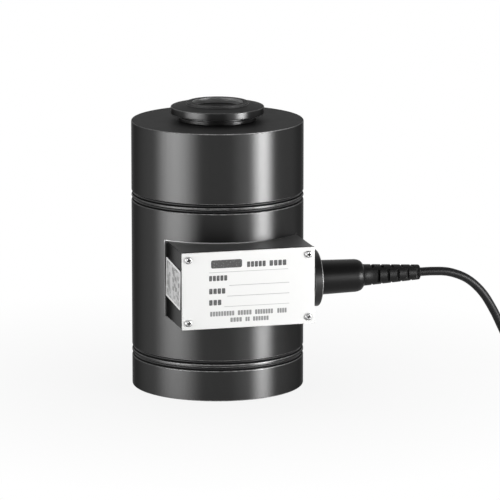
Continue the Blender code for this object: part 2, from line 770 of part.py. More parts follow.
def build_cable_entry():
    """The stretch of cable held in the gland, and its four cores up to the terminal block."""
    rod(
        "cable_entry", cable_radius, (cable_inner_end, -gland_reach, box_centre),
        (relief_end - TOUCH, -gland_reach, box_centre), 12, cable_black,
    )
    top = block_middle + BLOCK_HEIGHT / 2 + TOUCH
    pitch = BLOCK_WIDTH / BLOCK_POLES
    run_y = BLOCK_DEPTH / 2 - block_front
    board_side = BOARD_SHIFT + BOARD_WIDTH / 2
    bend = 4 * CORE_DIAMETER
    colours = (("red", core_red), ("white", core_white), ("green", core_green), ("black", core_black))
    for i, (colour, material) in enumerate(colours):
        start = Vector((cable_inner_end - TOUCH, -gland_reach, box_centre + (i - 1.5) * CORE_SPACING))
        level = box_centre + BLOCK_HEIGHT + (i - 1.5) * CORE_SPACING
        terminal = BOARD_SHIFT + (BLOCK_POLES / 2 - 0.5 - i) * pitch
        route = [
            start,
            start + Vector((-bend, 0, 0)),
            Vector((board_side + 1.5 * bend, (start.y + run_y) / 2, (start.z + level) / 2)),
            Vector((board_side, run_y, level)),
            Vector((terminal + bend, run_y, level)),
            Vector((terminal + bend / 4, run_y, level - bend / 3)),
            Vector((terminal, run_y, top + bend / 2)),
            Vector((terminal, run_y, top)),
        ]
        wire(f"core_{colour}", smooth_curve(route, CORE_STEPS), CORE_DIAMETER, material, 1)


def build_gauges():
    """Four foil gauges bonded on the column, joined by a ring of wire, with one lead to the board."""
    column = COLUMN_DIAMETER / 2
    middle = (tube_low + tube_top) / 2
    for i in range(4):
        radius = column + TOUCH + GAUGE_THICKNESS / 2
        half = GAUGE_LENGTH / 2
        gauge = turned(
            f"strain_gauge_{i + 1}", [(radius, middle + half), (radius, middle - half)], 4, gauge_amber,
            angle=GAUGE_ANGLE,
        )
        gauge.rotation_euler.z = math.tau * i / 4 - math.pi / 2 - GAUGE_ANGLE / 2
        wall = gauge.modifiers.new("Foil", "SOLIDIFY")
        wall.thickness = GAUGE_THICKNESS
        wall.offset = 0

    ring_z = middle - WIRING_DROP
    ring_radius = column + SLIDE + WIRING_DIAMETER / 2
    turns = [math.tau * i / SEAL_STEPS for i in range(SEAL_STEPS)]
    loop = [(ring_radius * math.cos(turn), ring_radius * math.sin(turn), ring_z) for turn in turns]
    wire("bridge_wiring", loop, WIRING_DIAMETER, copper_enamel, 1, closed=True)

    lead_start = ring_radius + WIRING_DIAMETER / 2 + SLIDE
    straight = WIRE_HOLE_DIAMETER
    route = [
        (0, -lead_start, ring_z),
        (0, -lead_start - straight, ring_z),
        (0, -tube_bore + straight, box_centre),
        (0, -tube_bore, box_centre),
        (0, -saddle_radius, box_centre),
        (0, TOUCH - board_back, box_centre),
    ]
    wire("gauge_lead", smooth_curve(route, 16), LEAD_DIAMETER, cable_black)


def build_cable():
    """Free cable: it droops from the strain relief to the ground and ends in a stored coil."""
    exit_x = relief_end + TOUCH
    middle = box_centre
    ground = cable_radius + TOUCH
    coil_radius = COIL_OUTER_DIAMETER / 2
    turn_y = COIL_CENTRE.y - coil_radius + cable_radius
    entry_x = COIL_CENTRE.x - math.sqrt(coil_radius ** 2 - (coil_radius - CABLE_DIAMETER) ** 2)
    route = [
        (exit_x, -gland_reach, middle),
        (exit_x + 0.012, -gland_reach, middle),
        (exit_x + 0.026, -0.0719, middle - 0.0016),
        (exit_x + 0.041, -0.0716, middle - 0.0080),
        (exit_x + 0.054, -0.0711, middle - 0.0200),
        (exit_x + 0.0645, -0.0703, middle - 0.0365),
        (exit_x + 0.0735, -0.0692, middle - 0.0545),
        (exit_x + 0.083, -0.0677, middle - 0.0715),
        (exit_x + 0.096, -0.0656, middle - 0.0850),
        (exit_x + 0.111, -0.0631, ground + 0.0040),
        (exit_x + 0.124, -0.0612, ground + 0.0006),
        (entry_x - TOUCH, turn_y, ground),
    ]
    wire("cable_tail", smooth_curve(route, 22), CABLE_DIAMETER, cable_black)

    coil_bore = COIL_INNER_DIAMETER / 2
    high = COIL_HEIGHT - COIL_ROUNDING
    profile = [
        (coil_radius - COIL_ROUNDING, COIL_HEIGHT),
        (coil_radius, high),
        (coil_radius, COIL_ROUNDING),
        (coil_radius - COIL_ROUNDING, 0),
        (coil_bore + COIL_ROUNDING, 0),
        (coil_bore, COIL_ROUNDING),
        (coil_bore, high),
        (coil_bore + COIL_ROUNDING, COIL_HEIGHT),
    ]
    coil = turned("cable_coil", profile, GLAND_STEPS, cable_black, closed=True)
    coil.location = COIL_CENTRE


clear_scene()
part = new_collection("load_cell")
cutters = new_collection("cutters")

black_steel = finish("blackened steel", "2a2b2d", 0.28, 1.0)
black_paint = finish("black paint", "242527", 0.5)
white_enamel = finish("white enamel", "f2f3f2", 0.35)
zinc = finish("zinc plate", "b9bbbd", 0.35, 1.0)
foil = finish("label foil", "c9cacc", 0.4, 0.6)
plated_brass = finish("nickel plate", "6b6c6e", 0.3, 1.0)
black_nylon = finish("black nylon", "1b1c1d", 0.45)
grey_nylon = finish("grey nylon", "7f8486", 0.5)
rubber = finish("black rubber", "161617", 0.6)
cable_black = finish("cable sheath", "18191a", 0.5)
board_green = finish("circuit board", "2d6a45", 0.4)
gauge_amber = finish("gauge film", "b5762a", 0.4)
copper_enamel = finish("enamelled copper", "9c4f2a", 0.35, 0.8)
core_red = finish("red core", "b3261f", 0.45)
core_white = finish("white core", "e8e8e4", 0.45)
core_green = finish("green core", "2f7d3b", 0.45)
core_black = finish("black core", "1c1c1c", 0.45)

build_base()
build_spring_element()
build_load_button()
build_case()
build_terminal_box()
build_cover()
build_gland()
build_strain_relief()
build_board()
build_cable_entry()
build_gauges()
build_cable()
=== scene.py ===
"""Looks of a canister load cell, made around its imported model. Metres, +Z up, nameplate towards -Y."""

import math

import bmesh
import bpy
from mathutils import Matrix, Vector


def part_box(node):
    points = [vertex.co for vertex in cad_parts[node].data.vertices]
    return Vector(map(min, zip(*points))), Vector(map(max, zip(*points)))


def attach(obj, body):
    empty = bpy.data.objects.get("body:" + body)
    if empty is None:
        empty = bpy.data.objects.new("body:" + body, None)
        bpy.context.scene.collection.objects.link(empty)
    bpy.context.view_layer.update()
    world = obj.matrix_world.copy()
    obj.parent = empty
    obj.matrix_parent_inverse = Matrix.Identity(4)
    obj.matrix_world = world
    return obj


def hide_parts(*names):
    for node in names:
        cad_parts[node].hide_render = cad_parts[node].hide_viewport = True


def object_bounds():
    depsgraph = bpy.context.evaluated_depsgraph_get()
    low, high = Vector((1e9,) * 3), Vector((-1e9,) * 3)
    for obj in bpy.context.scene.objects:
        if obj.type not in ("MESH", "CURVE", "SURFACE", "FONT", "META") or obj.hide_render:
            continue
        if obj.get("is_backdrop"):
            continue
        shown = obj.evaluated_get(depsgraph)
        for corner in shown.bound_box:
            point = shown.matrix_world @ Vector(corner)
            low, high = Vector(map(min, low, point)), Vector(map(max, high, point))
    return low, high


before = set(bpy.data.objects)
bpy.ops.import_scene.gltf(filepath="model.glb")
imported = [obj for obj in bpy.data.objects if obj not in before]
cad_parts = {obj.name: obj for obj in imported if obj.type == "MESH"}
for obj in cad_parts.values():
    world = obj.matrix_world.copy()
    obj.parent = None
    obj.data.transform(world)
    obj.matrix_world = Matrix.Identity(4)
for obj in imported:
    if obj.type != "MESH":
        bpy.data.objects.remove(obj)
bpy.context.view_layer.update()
scene = bpy.context.scene

# Camera. The photograph looks a little down on the cell, from the left of the nameplate, through a
# long lens. The cell stands left of the picture's middle, so the camera aims beside the body.
CAMERA_AZIMUTH = math.radians(-14.32)
CAMERA_ELEVATION = math.radians(11.54)
CAMERA_DISTANCE = 3.5356
CAMERA_LENS = 312.1
BODY_MIDDLE = Vector((0, 0, 0.1125))
AIM_RIGHT = 0.02644
AIM_DOWN = 0.00218
back = Vector((
    math.sin(CAMERA_AZIMUTH) * math.cos(CAMERA_ELEVATION),
    -math.cos(CAMERA_AZIMUTH) * math.cos(CAMERA_ELEVATION),
    math.sin(CAMERA_ELEVATION),
))
right = Vector((math.cos(CAMERA_AZIMUTH), math.sin(CAMERA_AZIMUTH), 0))
up = back.cross(right)
camera_data = bpy.data.cameras.new("camera")
camera_data.lens = CAMERA_LENS
camera_data.sensor_width = 36
camera_data.clip_end = 100
camera = bpy.data.objects.new("camera", camera_data)
camera.location = BODY_MIDDLE + back * CAMERA_DISTANCE
aim = BODY_MIDDLE + right * AIM_RIGHT - up * AIM_DOWN
camera.rotation_mode = "QUATERNION"
camera.rotation_quaternion = (camera.location - aim).to_track_quat("Z", "Y")
scene.collection.objects.link(camera)
scene.camera = camera

# Cable. A round instrumentation cable with a black PVC sheath leaves the strain relief, bends down
# under its weight to the floor and ends in a coil of 18 turns, wound in four layers that nest in
# each other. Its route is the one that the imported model's cable follows.
MM = 0.001
CABLE_RADIUS = 3.5 * MM
HIDDEN_START = 3 * MM         # how far the cable reaches back into the strain relief
TAIL_POINTS = 34
TURN_POINTS = 24
SPAN_POINTS = 20              # fine points between two points of the tail's route
TOUCH = 0.3 * MM              # gap left between pieces that bear on each other
COIL_CENTRE = Vector((0.318, -0.004, 0))
WIDE_LAYER = (56, 49, 42, 35, 28)
NESTED_LAYER = (31.5, 38.5, 45.5, 52.5)
LAYER_HEIGHTS = (4.4, 10.5, 16.6, 22.7)
COIL_TURNS = [
    (radius * MM, height * MM)
    for layer, height in zip((WIDE_LAYER, NESTED_LAYER) * 2, LAYER_HEIGHTS) for radius in layer
]
CROSSING = 0.18               # share of a turn in which the cable moves on to the next turn
SHEATH_SHARE = 0.80           # of the last turn, up to where the sheath is stripped
relief_low, relief_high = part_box("strain_relief")
gland_y = (relief_low.y + relief_high.y) / 2
gland_z = (relief_low.z + relief_high.z) / 2
cable_exit = Vector((relief_high.x + TOUCH, gland_y, gland_z))
ground = CABLE_RADIUS + TOUCH


def smooth_curve(route, count):
    """Evenly spaced points on a smooth curve through the points of a route."""
    ends = [2 * route[0] - route[1], *route, 2 * route[-1] - route[-2]]
    fine = []
    for a, b, c, d in zip(ends, ends[1:], ends[2:], ends[3:]):
        for t in (step / SPAN_POINTS for step in range(SPAN_POINTS)):
            fine.append(0.5 * (2 * b + (c - a) * t + (2 * a - 5 * b + 4 * c - d) * t ** 2
                               + (3 * b - a - 3 * c + d) * t ** 3))
    fine.append(route[-1])
    reach = [0.0]
    for a, b in zip(fine, fine[1:]):
        reach.append(reach[-1] + (b - a).length)
    points = []
    piece = 0
    for wanted in (reach[-1] * i / (count - 1) for i in range(count)):
        while piece < len(fine) - 2 and reach[piece + 1] < wanted:
            piece += 1
        share = (wanted - reach[piece]) / (reach[piece + 1] - reach[piece])
        points.append(fine[piece].lerp(fine[piece + 1], min(share, 1)))
    return points


def ease(share):
    """A share held between 0 and 1 that starts and ends gently."""
    share = min(max(share, 0), 1)
    return share * share * (3 - 2 * share)


def coil_point(turn):
    """The cable's middle at a count of turns from where it enters the coil."""
    whole = min(int(turn), len(COIL_TURNS) - 1)
    share = ease((turn - whole - 1 + CROSSING) / CROSSING)
    here = COIL_TURNS[whole]
    there = COIL_TURNS[min(whole + 1, len(COIL_TURNS) - 1)]
    radius = here[0] + (there[0] - here[0]) * share
    height = here[1] + (there[1] - here[1]) * share
    angle = math.tau * turn - math.pi / 2
    return COIL_CENTRE + Vector((radius * math.cos(angle), radius * math.sin(angle), height))


def cord(name, points, radius, sides):
    """A smooth round cord through its points."""
    data = bpy.data.curves.new(name, "CURVE")
    data.dimensions = "3D"
    data.bevel_depth = radius
    data.bevel_resolution = sides
    data.use_fill_caps = True
    data.resolution_u = 5
    spline = data.splines.new("BEZIER")
    spline.bezier_points.add(len(points) - 1)
    for knot, point in zip(spline.bezier_points, points):
        knot.co = point
        knot.handle_left_type = knot.handle_right_type = "AUTO"
    obj = bpy.data.objects.new(name, data)
    scene.collection.objects.link(obj)
    return obj


tail_route = [
    cable_exit + Vector((-HIDDEN_START, 0, 0)),
    cable_exit + Vector((0.012, 0, 0)),
    *(Vector((cable_exit.x + x, y, gland_z - drop)) for x, y, drop in (
        (0.026, -0.0719, 0.0016), (0.041, -0.0716, 0.0080), (0.054, -0.0711, 0.0200),
        (0.0645, -0.0703, 0.0365), (0.0735, -0.0692, 0.0545), (0.083, -0.0677, 0.0715),
        (0.096, -0.0656, 0.0850),
    )),
    Vector((cable_exit.x + 0.111, -0.0631, ground + 0.0040)),
    Vector((cable_exit.x + 0.124, -0.0612, ground + 0.0006)),
    Vector((0.2897, -0.0600, ground)),
]
last_turn = len(COIL_TURNS) - 1 + SHEATH_SHARE
turn_steps = int(last_turn * TURN_POINTS)
wound = [coil_point(last_turn * i / turn_steps) for i in range(turn_steps + 1)]
cable = cord("cable", smooth_curve(tail_route, TAIL_POINTS) + wound, CABLE_RADIUS, 5)


def linear(colour):
    """An sRGB hex colour as linear light."""
    channels = [int(colour[i:i + 2], 16) / 255 for i in (0, 2, 4)]
    return (*(c / 12.92 if c <= 0.04045 else ((c + 0.055) / 1.055) ** 2.4 for c in channels), 1)


def blank(name):
    """A new material with an empty node tree."""
    material = bpy.data.materials.new(name)
    material.use_nodes = True
    material.node_tree.nodes.clear()
    return material


def node(material, kind, inputs, **settings):
    """One node with its settings, whose inputs take values or other nodes' outputs."""
    made = material.node_tree.nodes.new("ShaderNode" + kind)
    for key, value in settings.items():
        setattr(made, key, value)
    for key, value in inputs.items():
        if isinstance(value, bpy.types.NodeSocket):
            material.node_tree.links.new(value, made.inputs[key])
        else:
            made.inputs[key].default_value = value
    return made.outputs


def grained(name, colour, scale, detail, gloss, relief=None, metal=0, specular=0.5, peaks=None):
    """A finish whose gloss follows a fine grain, as do its relief and the colour of its peaks, if any."""
    finish = blank(name)
    place = node(finish, "TexCoord", {})["Object"]
    grain = node(finish, "TexNoise", {"Vector": place, "Scale": scale, "Detail": detail})["Fac"]
    dull = node(finish, "MapRange", {"Value": grain, "To Min": gloss[0], "To Max": gloss[1]})["Result"]
    inputs = {
        "Base Color": linear(colour), "Metallic": metal, "Roughness": dull, "Specular IOR Level": specular,
    }
    if peaks:
        inputs["Base Color"] = node(finish, "Mix", {
            0: grain, 6: linear(colour), 7: linear(peaks),
        }, data_type="RGBA")[2]
    if relief:
        strength, depth = relief
        bump = node(finish, "Bump", {"Height": grain, "Strength": strength, "Distance": depth * MM})
        inputs["Normal"] = bump["Normal"]
    shader = node(finish, "BsdfPrincipled", inputs)["BSDF"]
    node(finish, "OutputMaterial", {"Surface": shader})
    return finish


# PVC sheath, extruded: a satin black with a faint unevenness from the die, about 1.5 mm long.
pvc_sheath = grained("extruded_pvc_sheath", "161617", 650, 2, (0.36, 0.48), (0.25, 0.03), specular=0.25)
cable.data.materials.append(pvc_sheath)
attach(cable, "root")
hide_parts("cable_tail", "cable_coil")

# Stripped end. Four stranded cores in coloured PVC come out of the sheath and lie on the layer of
# turns below, as they do on a cell that waits for its indicator's terminals. Each tip is stripped to
# its tinned copper strands.
CORE_RADIUS = 0.65 * MM
STRAND_RADIUS = 0.42 * MM
TIP_LENGTH = 5 * MM
CORE_REACH = 0.13             # of a turn, from the sheath's end to the tips
CORE_POINTS = 10
CORE_LIFT = 0.7 * MM          # of two cores above, and two below, the middle of the sheath
FAN_MIDDLE = 52.8             # mean radius of the four cores where they have spread
FAN_START = 0.45              # share of that spread inside the sheath
tinned_copper = blank("tinned_copper_strands")
place = node(tinned_copper, "TexCoord", {})["Object"]
lay = node(tinned_copper, "TexWave", {"Vector": place, "Scale": 1200, "Distortion": 1})["Fac"]
relief = node(tinned_copper, "Bump", {"Height": lay, "Strength": 0.5, "Distance": 0.05 * MM})["Normal"]
shader = node(tinned_copper, "BsdfPrincipled", {
    "Base Color": linear("c9c4bd"), "Metallic": 1, "Roughness": 0.35, "Normal": relief,
})["BSDF"]
node(tinned_copper, "OutputMaterial", {"Surface": shader})
insulation = {}
for colour, hex_colour, radius in (
    ("red", "a3221c", 50.6), ("white", "dedede", 52.1),
    ("green", "2a7238", 53.5), ("black", "1b1b1b", 55.0),
):
    from_turn = min(abs(radius - turn_radius) for turn_radius in WIDE_LAYER) * MM
    rest_z = LAYER_HEIGHTS[2] * MM + math.sqrt((CABLE_RADIUS + CORE_RADIUS) ** 2 - from_turn ** 2)
    start_z = coil_point(last_turn).z + (CORE_LIFT if colour in ("white", "green") else -CORE_LIFT)
    start_radius = NESTED_LAYER[-1] * MM + (radius - FAN_MIDDLE) * MM * FAN_START
    points = []
    for i in range(CORE_POINTS):
        share = i / (CORE_POINTS - 1)
        drop = ease(3 * share)
        angle = math.tau * (last_turn + CORE_REACH * share) - math.pi / 2
        reach = start_radius + (radius * MM - start_radius) * drop
        height = start_z + (rest_z - start_z) * drop
        points.append(COIL_CENTRE + Vector((reach * math.cos(angle), reach * math.sin(angle), height)))
    core = cord(f"core_end_{colour}", points, CORE_RADIUS, 3)
    onward = (points[-1] - points[-2]).normalized()
    tip = cord(f"core_tip_{colour}", [points[-1], points[-1] + onward * TIP_LENGTH], STRAND_RADIUS, 3)
    insulation[colour] = grained(f"{colour}_pvc_insulation", hex_colour, 900, 2, (0.3, 0.45))
    core.data.materials.append(insulation[colour])
    tip.data.materials.append(tinned_copper)
    for piece in (core, tip):
        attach(piece, "root")

# Cable ties. Three black nylon ties hold the coil. Each is a band round the coil's section with a
# small square head on its outer side, where the band's end comes out.
TIE_WIDTH = 3.6 * MM
TIE_THICKNESS = 0.9 * MM
TIE_INNER = 24.2 * MM         # from the coil's middle
TIE_OUTER = 59.6 * MM
TIE_TOP = 26.6 * MM
TIE_BEND = 5 * MM
TIE_HEAD = Vector((3.2, 6.0, 6.0)) * MM
TIE_HEAD_LOW = 10 * MM
TIE_HEAD_SUNK = 0.1 * MM
TIE_ANGLES = (25, 140, 265)
SMOOTH_ANGLE = math.radians(35)
nylon_tie = grained("moulded_nylon_66", "1e1e1e", 1000, 2, (0.35, 0.5))


def pick(piece, kind, wanted):
    """Selects, in edit mode, only the vertices, edges or faces whose place passes a test."""
    bpy.ops.mesh.select_mode(type=kind)
    bpy.ops.mesh.select_all(action="DESELECT")
    shape = bmesh.from_edit_mesh(piece.data)
    if kind == "VERT":
        for vertex in shape.verts:
            vertex.select_set(wanted(vertex.co))
    elif kind == "EDGE":
        for edge in shape.edges:
            edge.select_set(wanted(edge.verts[0].co, edge.verts[1].co))
    else:
        for face in shape.faces:
            face.select_set(wanted(face.calc_center_median(), face.normal))
    shape.select_flush_mode()
    bmesh.update_edit_mesh(piece.data)


def start_block(name, low, high):
    """A cube stretched between two corners, left in edit mode for shaping."""
    bpy.ops.mesh.primitive_cube_add(size=1, location=(0, 0, 0))
    piece = bpy.context.object
    piece.name = name
    piece.data.name = name
    bpy.ops.object.mode_set(mode="EDIT")
    bpy.ops.transform.resize(value=high - low)
    bpy.ops.transform.translate(value=(low + high) / 2)
    return piece


def apply_all(piece):
    """Applies a piece's modifiers in their order."""
    bpy.ops.object.select_all(action="DESELECT")
    piece.select_set(True)
    bpy.context.view_layer.objects.active = piece
    for name in [modifier.name for modifier in piece.modifiers]:
        bpy.ops.object.modifier_apply(modifier=name)


for count, angle in enumerate(TIE_ANGLES, 1):
    low = Vector((COIL_CENTRE.x + TIE_INNER, COIL_CENTRE.y - TIE_WIDTH / 2, TIE_THICKNESS))
    high = Vector((COIL_CENTRE.x + TIE_OUTER, COIL_CENTRE.y + TIE_WIDTH / 2, TIE_TOP))
    tie = start_block(f"coil_tie_{count}", low, high)
    pick(tie, "FACE", lambda middle, normal: abs(normal.y) > 0.9)
    bpy.ops.mesh.delete(type="ONLY_FACE")
    pick(tie, "EDGE", lambda a, b: abs(a.y - b.y) > TIE_WIDTH / 2)
    bpy.ops.mesh.bevel(offset=TIE_BEND, segments=6)
    bpy.ops.mesh.select_all(action="SELECT")
    bpy.ops.mesh.normals_make_consistent(inside=False)
    bpy.ops.object.mode_set(mode="OBJECT")
    band = tie.modifiers.new("Band", "SOLIDIFY")
    band.thickness = TIE_THICKNESS
    band.offset = 1
    edge = tie.modifiers.new("Edge", "BEVEL")
    edge.width = 0.2 * MM
    edge.segments = 2
    apply_all(tie)
    head_low = Vector((high.x - TIE_HEAD_SUNK, low.y - (TIE_HEAD.y - TIE_WIDTH) / 2, TIE_HEAD_LOW))
    head = start_block("tie_head", head_low, head_low + TIE_HEAD)
    bpy.ops.mesh.bevel(offset=0.6 * MM, segments=2)
    bpy.ops.object.mode_set(mode="OBJECT")
    tie.select_set(True)
    bpy.context.view_layer.objects.active = tie
    bpy.ops.object.join()
    turn = Matrix.Rotation(math.radians(angle), 4, "Z")
    tie.data.transform(Matrix.Translation(COIL_CENTRE) @ turn @ Matrix.Translation(-COIL_CENTRE))
    bpy.ops.object.shade_smooth_by_angle(angle=SMOOTH_ANGLE)
    tie.data.materials.append(nylon_tie)
    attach(tie, "root")

# Body. The base, the case tube, the rings between the seals and the top head are turned from steel
# and blackened in a hot oxide bath, which leaves a thin, even, half-glossy black over the fine marks
# of the lathe.
BODY_RADIUS = 70
SPIGOT_RADIUS = 66
HEAD_SPIGOT_LOW = 141.7
TUBE_BORE = 66.3
SEAL_SLOT = 2.9               # height of each slot that holds a seal
BUTTON_BORE = 20.3
BUTTON_BORE_DEPTH = 30.3
COLUMN_RADIUS = 38
COLUMN_LOW = 53.6
COLUMN_FILLET = 8.9
FOOT_RADIUS = 55
FOOT_LOW = 45.6
FOOT_SPIGOT_RADIUS = 30
FOOT_SPIGOT_LOW = 21.6
RIM_ROUNDING = 1.0
EDGE_ROUNDING = 0.5
LIT_ROUNDING = 1.0            # on the edges that face up and catch the light
LAND_ROUNDING = 0.4
HAIR = 0.01                   # rounding that keeps a corner of the hidden column sharp
FACED = 0.93                  # how far up or down a face looks that was cut across the axis


def turned(name, corners, steps=192, centre=(0, 0, 0), along=(0, 0, 1), side=(1, 0, 0), closed=False):
    """A lathe-made piece from corners of (radius, height, rounding) in millimetres."""
    centre, along, side = Vector(centre), Vector(along), Vector(side)
    points = [centre + (along * height + side * radius) * MM for radius, height, rounding in corners]
    bpy.ops.mesh.primitive_plane_add(size=MM, location=(0, 0, 0))
    piece = bpy.context.object
    piece.name = name
    piece.data.name = name
    bpy.ops.object.mode_set(mode="EDIT")
    bpy.ops.mesh.select_mode(type="VERT")
    bpy.ops.mesh.merge(type="CENTER")
    bpy.ops.transform.translate(value=points[0])
    for a, b in zip(points, points[1:]):
        bpy.ops.mesh.extrude_region_move(TRANSFORM_OT_translate={"value": b - a})
    if closed:
        ends = (points[0], points[-1])
        pick(piece, "VERT", lambda place: min((place - end).length for end in ends) < 0.01 * MM)
        bpy.ops.mesh.edge_face_add()
    for rounding in sorted({corner[2] for corner in corners} - {0}):
        eased = [point for point, corner in zip(points, corners) if corner[2] == rounding]
        pick(piece, "VERT", lambda place: min((place - point).length for point in eased) < 0.01 * MM)
        bpy.ops.mesh.bevel(offset=rounding * MM, segments=3, affect="VERTICES")
    bpy.ops.mesh.select_all(action="SELECT")
    bpy.ops.mesh.spin(steps=steps, angle=math.tau, center=centre, axis=along)
    bpy.ops.mesh.select_all(action="SELECT")
    bpy.ops.mesh.remove_doubles(threshold=0.001 * MM)
    bpy.ops.mesh.normals_make_consistent(inside=False)
    bpy.ops.object.mode_set(mode="OBJECT")
    bpy.ops.object.shade_smooth_by_angle(angle=SMOOTH_ANGLE)
    flat = piece.modifiers.new("Flat walls", "WEIGHTED_NORMAL")
    flat.keep_sharp = True
    flat.weight = 100
    apply_all(piece)
    return piece


# Black oxide on turned steel. The marks of a 0.2 mm feed are drawn 1 mm apart so that they show, and
# they stretch every highlight along the body's axis. The turned edges are painted lighter: partly the
# oxide worn thin to the steel, partly a painted highlight, strongest on the front and fading backwards.
black_oxide = blank("black_oxide_on_turned_steel")
place = node(black_oxide, "TexCoord", {})
rings = node(black_oxide, "Mapping", {"Vector": place["Object"], "Scale": (3, 3, 1000)})["Vector"]
marks = node(black_oxide, "TexNoise", {"Vector": rings, "Scale": 1, "Detail": 3})["Fac"]
strokes = node(black_oxide, "Mapping", {"Vector": place["Object"], "Scale": (420, 420, 6)})["Vector"]
cloud = node(black_oxide, "TexNoise", {"Vector": strokes, "Scale": 1, "Detail": 2})["Fac"]
gloss = node(black_oxide, "MapRange", {"Value": cloud, "To Min": 0.31, "To Max": 0.36})["Result"]
relief = node(black_oxide, "Bump", {"Height": marks, "Strength": 0.1, "Distance": 0.02 * MM})["Normal"]
facing = node(black_oxide, "SeparateXYZ", {"Vector": place["Normal"]})["Z"]
facing = node(black_oxide, "Math", {0: facing}, operation="ABSOLUTE")["Value"]
off_wall = node(black_oxide, "MapRange", {
    "Value": facing, "From Min": 0.15, "From Max": 0.45,
}, interpolation_type="SMOOTHSTEP")["Result"]
chips = node(black_oxide, "TexNoise", {"Vector": place["Object"], "Scale": 350, "Detail": 2})["Fac"]
chips = node(black_oxide, "MapRange", {
    "Value": chips, "From Min": 0.3, "From Max": 0.6, "To Min": 0.5,
})["Result"]
# Painted highlight: the bright edge line is strongest on the front and fades towards the back.
painted_front_highlight = node(black_oxide, "SeparateXYZ", {"Vector": place["Object"]})["Y"]
painted_front_highlight = node(black_oxide, "MapRange", {
    "Value": painted_front_highlight, "From Min": -64 * MM, "From Max": -45 * MM, "To Min": 1, "To Max": 0.25,
})["Result"]
edge_wear_and_highlight = node(black_oxide, "Math", {0: off_wall, 1: chips}, operation="MULTIPLY")["Value"]
edge_wear_and_highlight = node(black_oxide, "Math", {0: edge_wear_and_highlight, 1: painted_front_highlight}, operation="MULTIPLY")["Value"]
tone = node(black_oxide, "Mix", {0: edge_wear_and_highlight, 6: linear("525252"), 7: linear("c0c0c0")}, data_type="RGBA")[2]
metal = node(black_oxide, "MapRange", {"Value": edge_wear_and_highlight, "To Min": 1, "To Max": 0.5})["Result"]
around = node(black_oxide, "Tangent", {}, direction_type="RADIAL", axis="Z")["Tangent"]
shader = node(black_oxide, "BsdfPrincipled", {
    "Base Color": tone, "Metallic": metal, "Roughness": gloss, "Normal": relief,
    "Specular Tint": linear("a0a0a0"), "Anisotropic": 0.9, "Anisotropic Rotation": 0.25, "Tangent": around,
})["BSDF"]
node(black_oxide, "OutputMaterial", {"Surface": shader})

# Black oxide on faced steel. Flat and domed faces are cut across the axis, which leaves fine rings
# round it and a duller surface.
faced_oxide = blank("black_oxide_on_faced_steel")
place = node(faced_oxide, "TexCoord", {})["Object"]
flat = node(faced_oxide, "Mapping", {"Vector": place, "Scale": (1, 1, 0)})["Vector"]
radius = node(faced_oxide, "VectorMath", {0: flat}, operation="LENGTH")["Value"]
rings = node(faced_oxide, "TexNoise", {
    "W": radius, "Scale": 1000, "Detail": 2,
}, noise_dimensions="1D")["Fac"]
relief = node(faced_oxide, "Bump", {"Height": rings, "Strength": 0.15, "Distance": 0.02 * MM})["Normal"]
cloud = node(faced_oxide, "TexNoise", {"Vector": place, "Scale": 60, "Detail": 3})["Fac"]
gloss = node(faced_oxide, "MapRange", {"Value": cloud, "To Min": 0.48, "To Max": 0.58})["Result"]
shader = node(faced_oxide, "BsdfPrincipled", {
    "Base Color": linear("424242"), "Metallic": 0.3, "Roughness": gloss, "Normal": relief,
    "Specular Tint": linear("404040"), "Specular IOR Level": 0.1,
})["BSDF"]
node(faced_oxide, "OutputMaterial", {"Surface": shader})


def blacken(piece):
    """Gives a turned piece its oxide, with the duller kind on the faces cut across the axis."""
    piece.data.materials.append(black_oxide)
    piece.data.materials.append(faced_oxide)
    for face in piece.data.polygons:
        face.material_index = int(abs(face.normal.z) > FACED)


base_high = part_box("base")[1]
head_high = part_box("spring_element")[1]
tube_low, tube_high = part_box("case_tube")
lower_low, lower_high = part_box("lower_spacer_ring")
upper_low, upper_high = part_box("upper_spacer_ring")
base_top = lower_low.z / MM - SEAL_SLOT
head_foot = upper_high.z / MM + SEAL_SLOT
rim = head_high.z / MM
base = turned("base_body", [
    (0, base_high.z / MM, 0), (SPIGOT_RADIUS, base_high.z / MM, EDGE_ROUNDING),
    (SPIGOT_RADIUS, base_top, 0), (BODY_RADIUS, base_top, LIT_ROUNDING), (BODY_RADIUS, 0, RIM_ROUNDING),
    (0, 0, 0),
])
head = turned("top_head", [
    (0, rim - BUTTON_BORE_DEPTH, 0), (BUTTON_BORE, rim - BUTTON_BORE_DEPTH, 0),
    (BUTTON_BORE, rim, EDGE_ROUNDING), (BODY_RADIUS, rim, RIM_ROUNDING),
    (BODY_RADIUS, head_foot, EDGE_ROUNDING), (SPIGOT_RADIUS, head_foot, 0),
    (SPIGOT_RADIUS, HEAD_SPIGOT_LOW, 0), (COLUMN_RADIUS + 9, HEAD_SPIGOT_LOW, COLUMN_FILLET),
    (COLUMN_RADIUS, HEAD_SPIGOT_LOW, HAIR), (COLUMN_RADIUS, COLUMN_LOW, HAIR),
    (COLUMN_RADIUS + 9, COLUMN_LOW, COLUMN_FILLET), (FOOT_RADIUS, COLUMN_LOW, EDGE_ROUNDING),
    (FOOT_RADIUS, FOOT_LOW, EDGE_ROUNDING), (FOOT_SPIGOT_RADIUS, FOOT_LOW, 0),
    (FOOT_SPIGOT_RADIUS, FOOT_SPIGOT_LOW, RIM_ROUNDING), (0, FOOT_SPIGOT_LOW, 0),
])


def ring(name, low, high, lower_rounding):
    """A turned ring as thick as the case tube's wall, between two heights."""
    return turned(name, [
        (BODY_RADIUS, high.z / MM, LIT_ROUNDING), (BODY_RADIUS, low.z / MM, lower_rounding),
        (TUBE_BORE, low.z / MM, 0), (TUBE_BORE, high.z / MM, 0),
    ], closed=True)


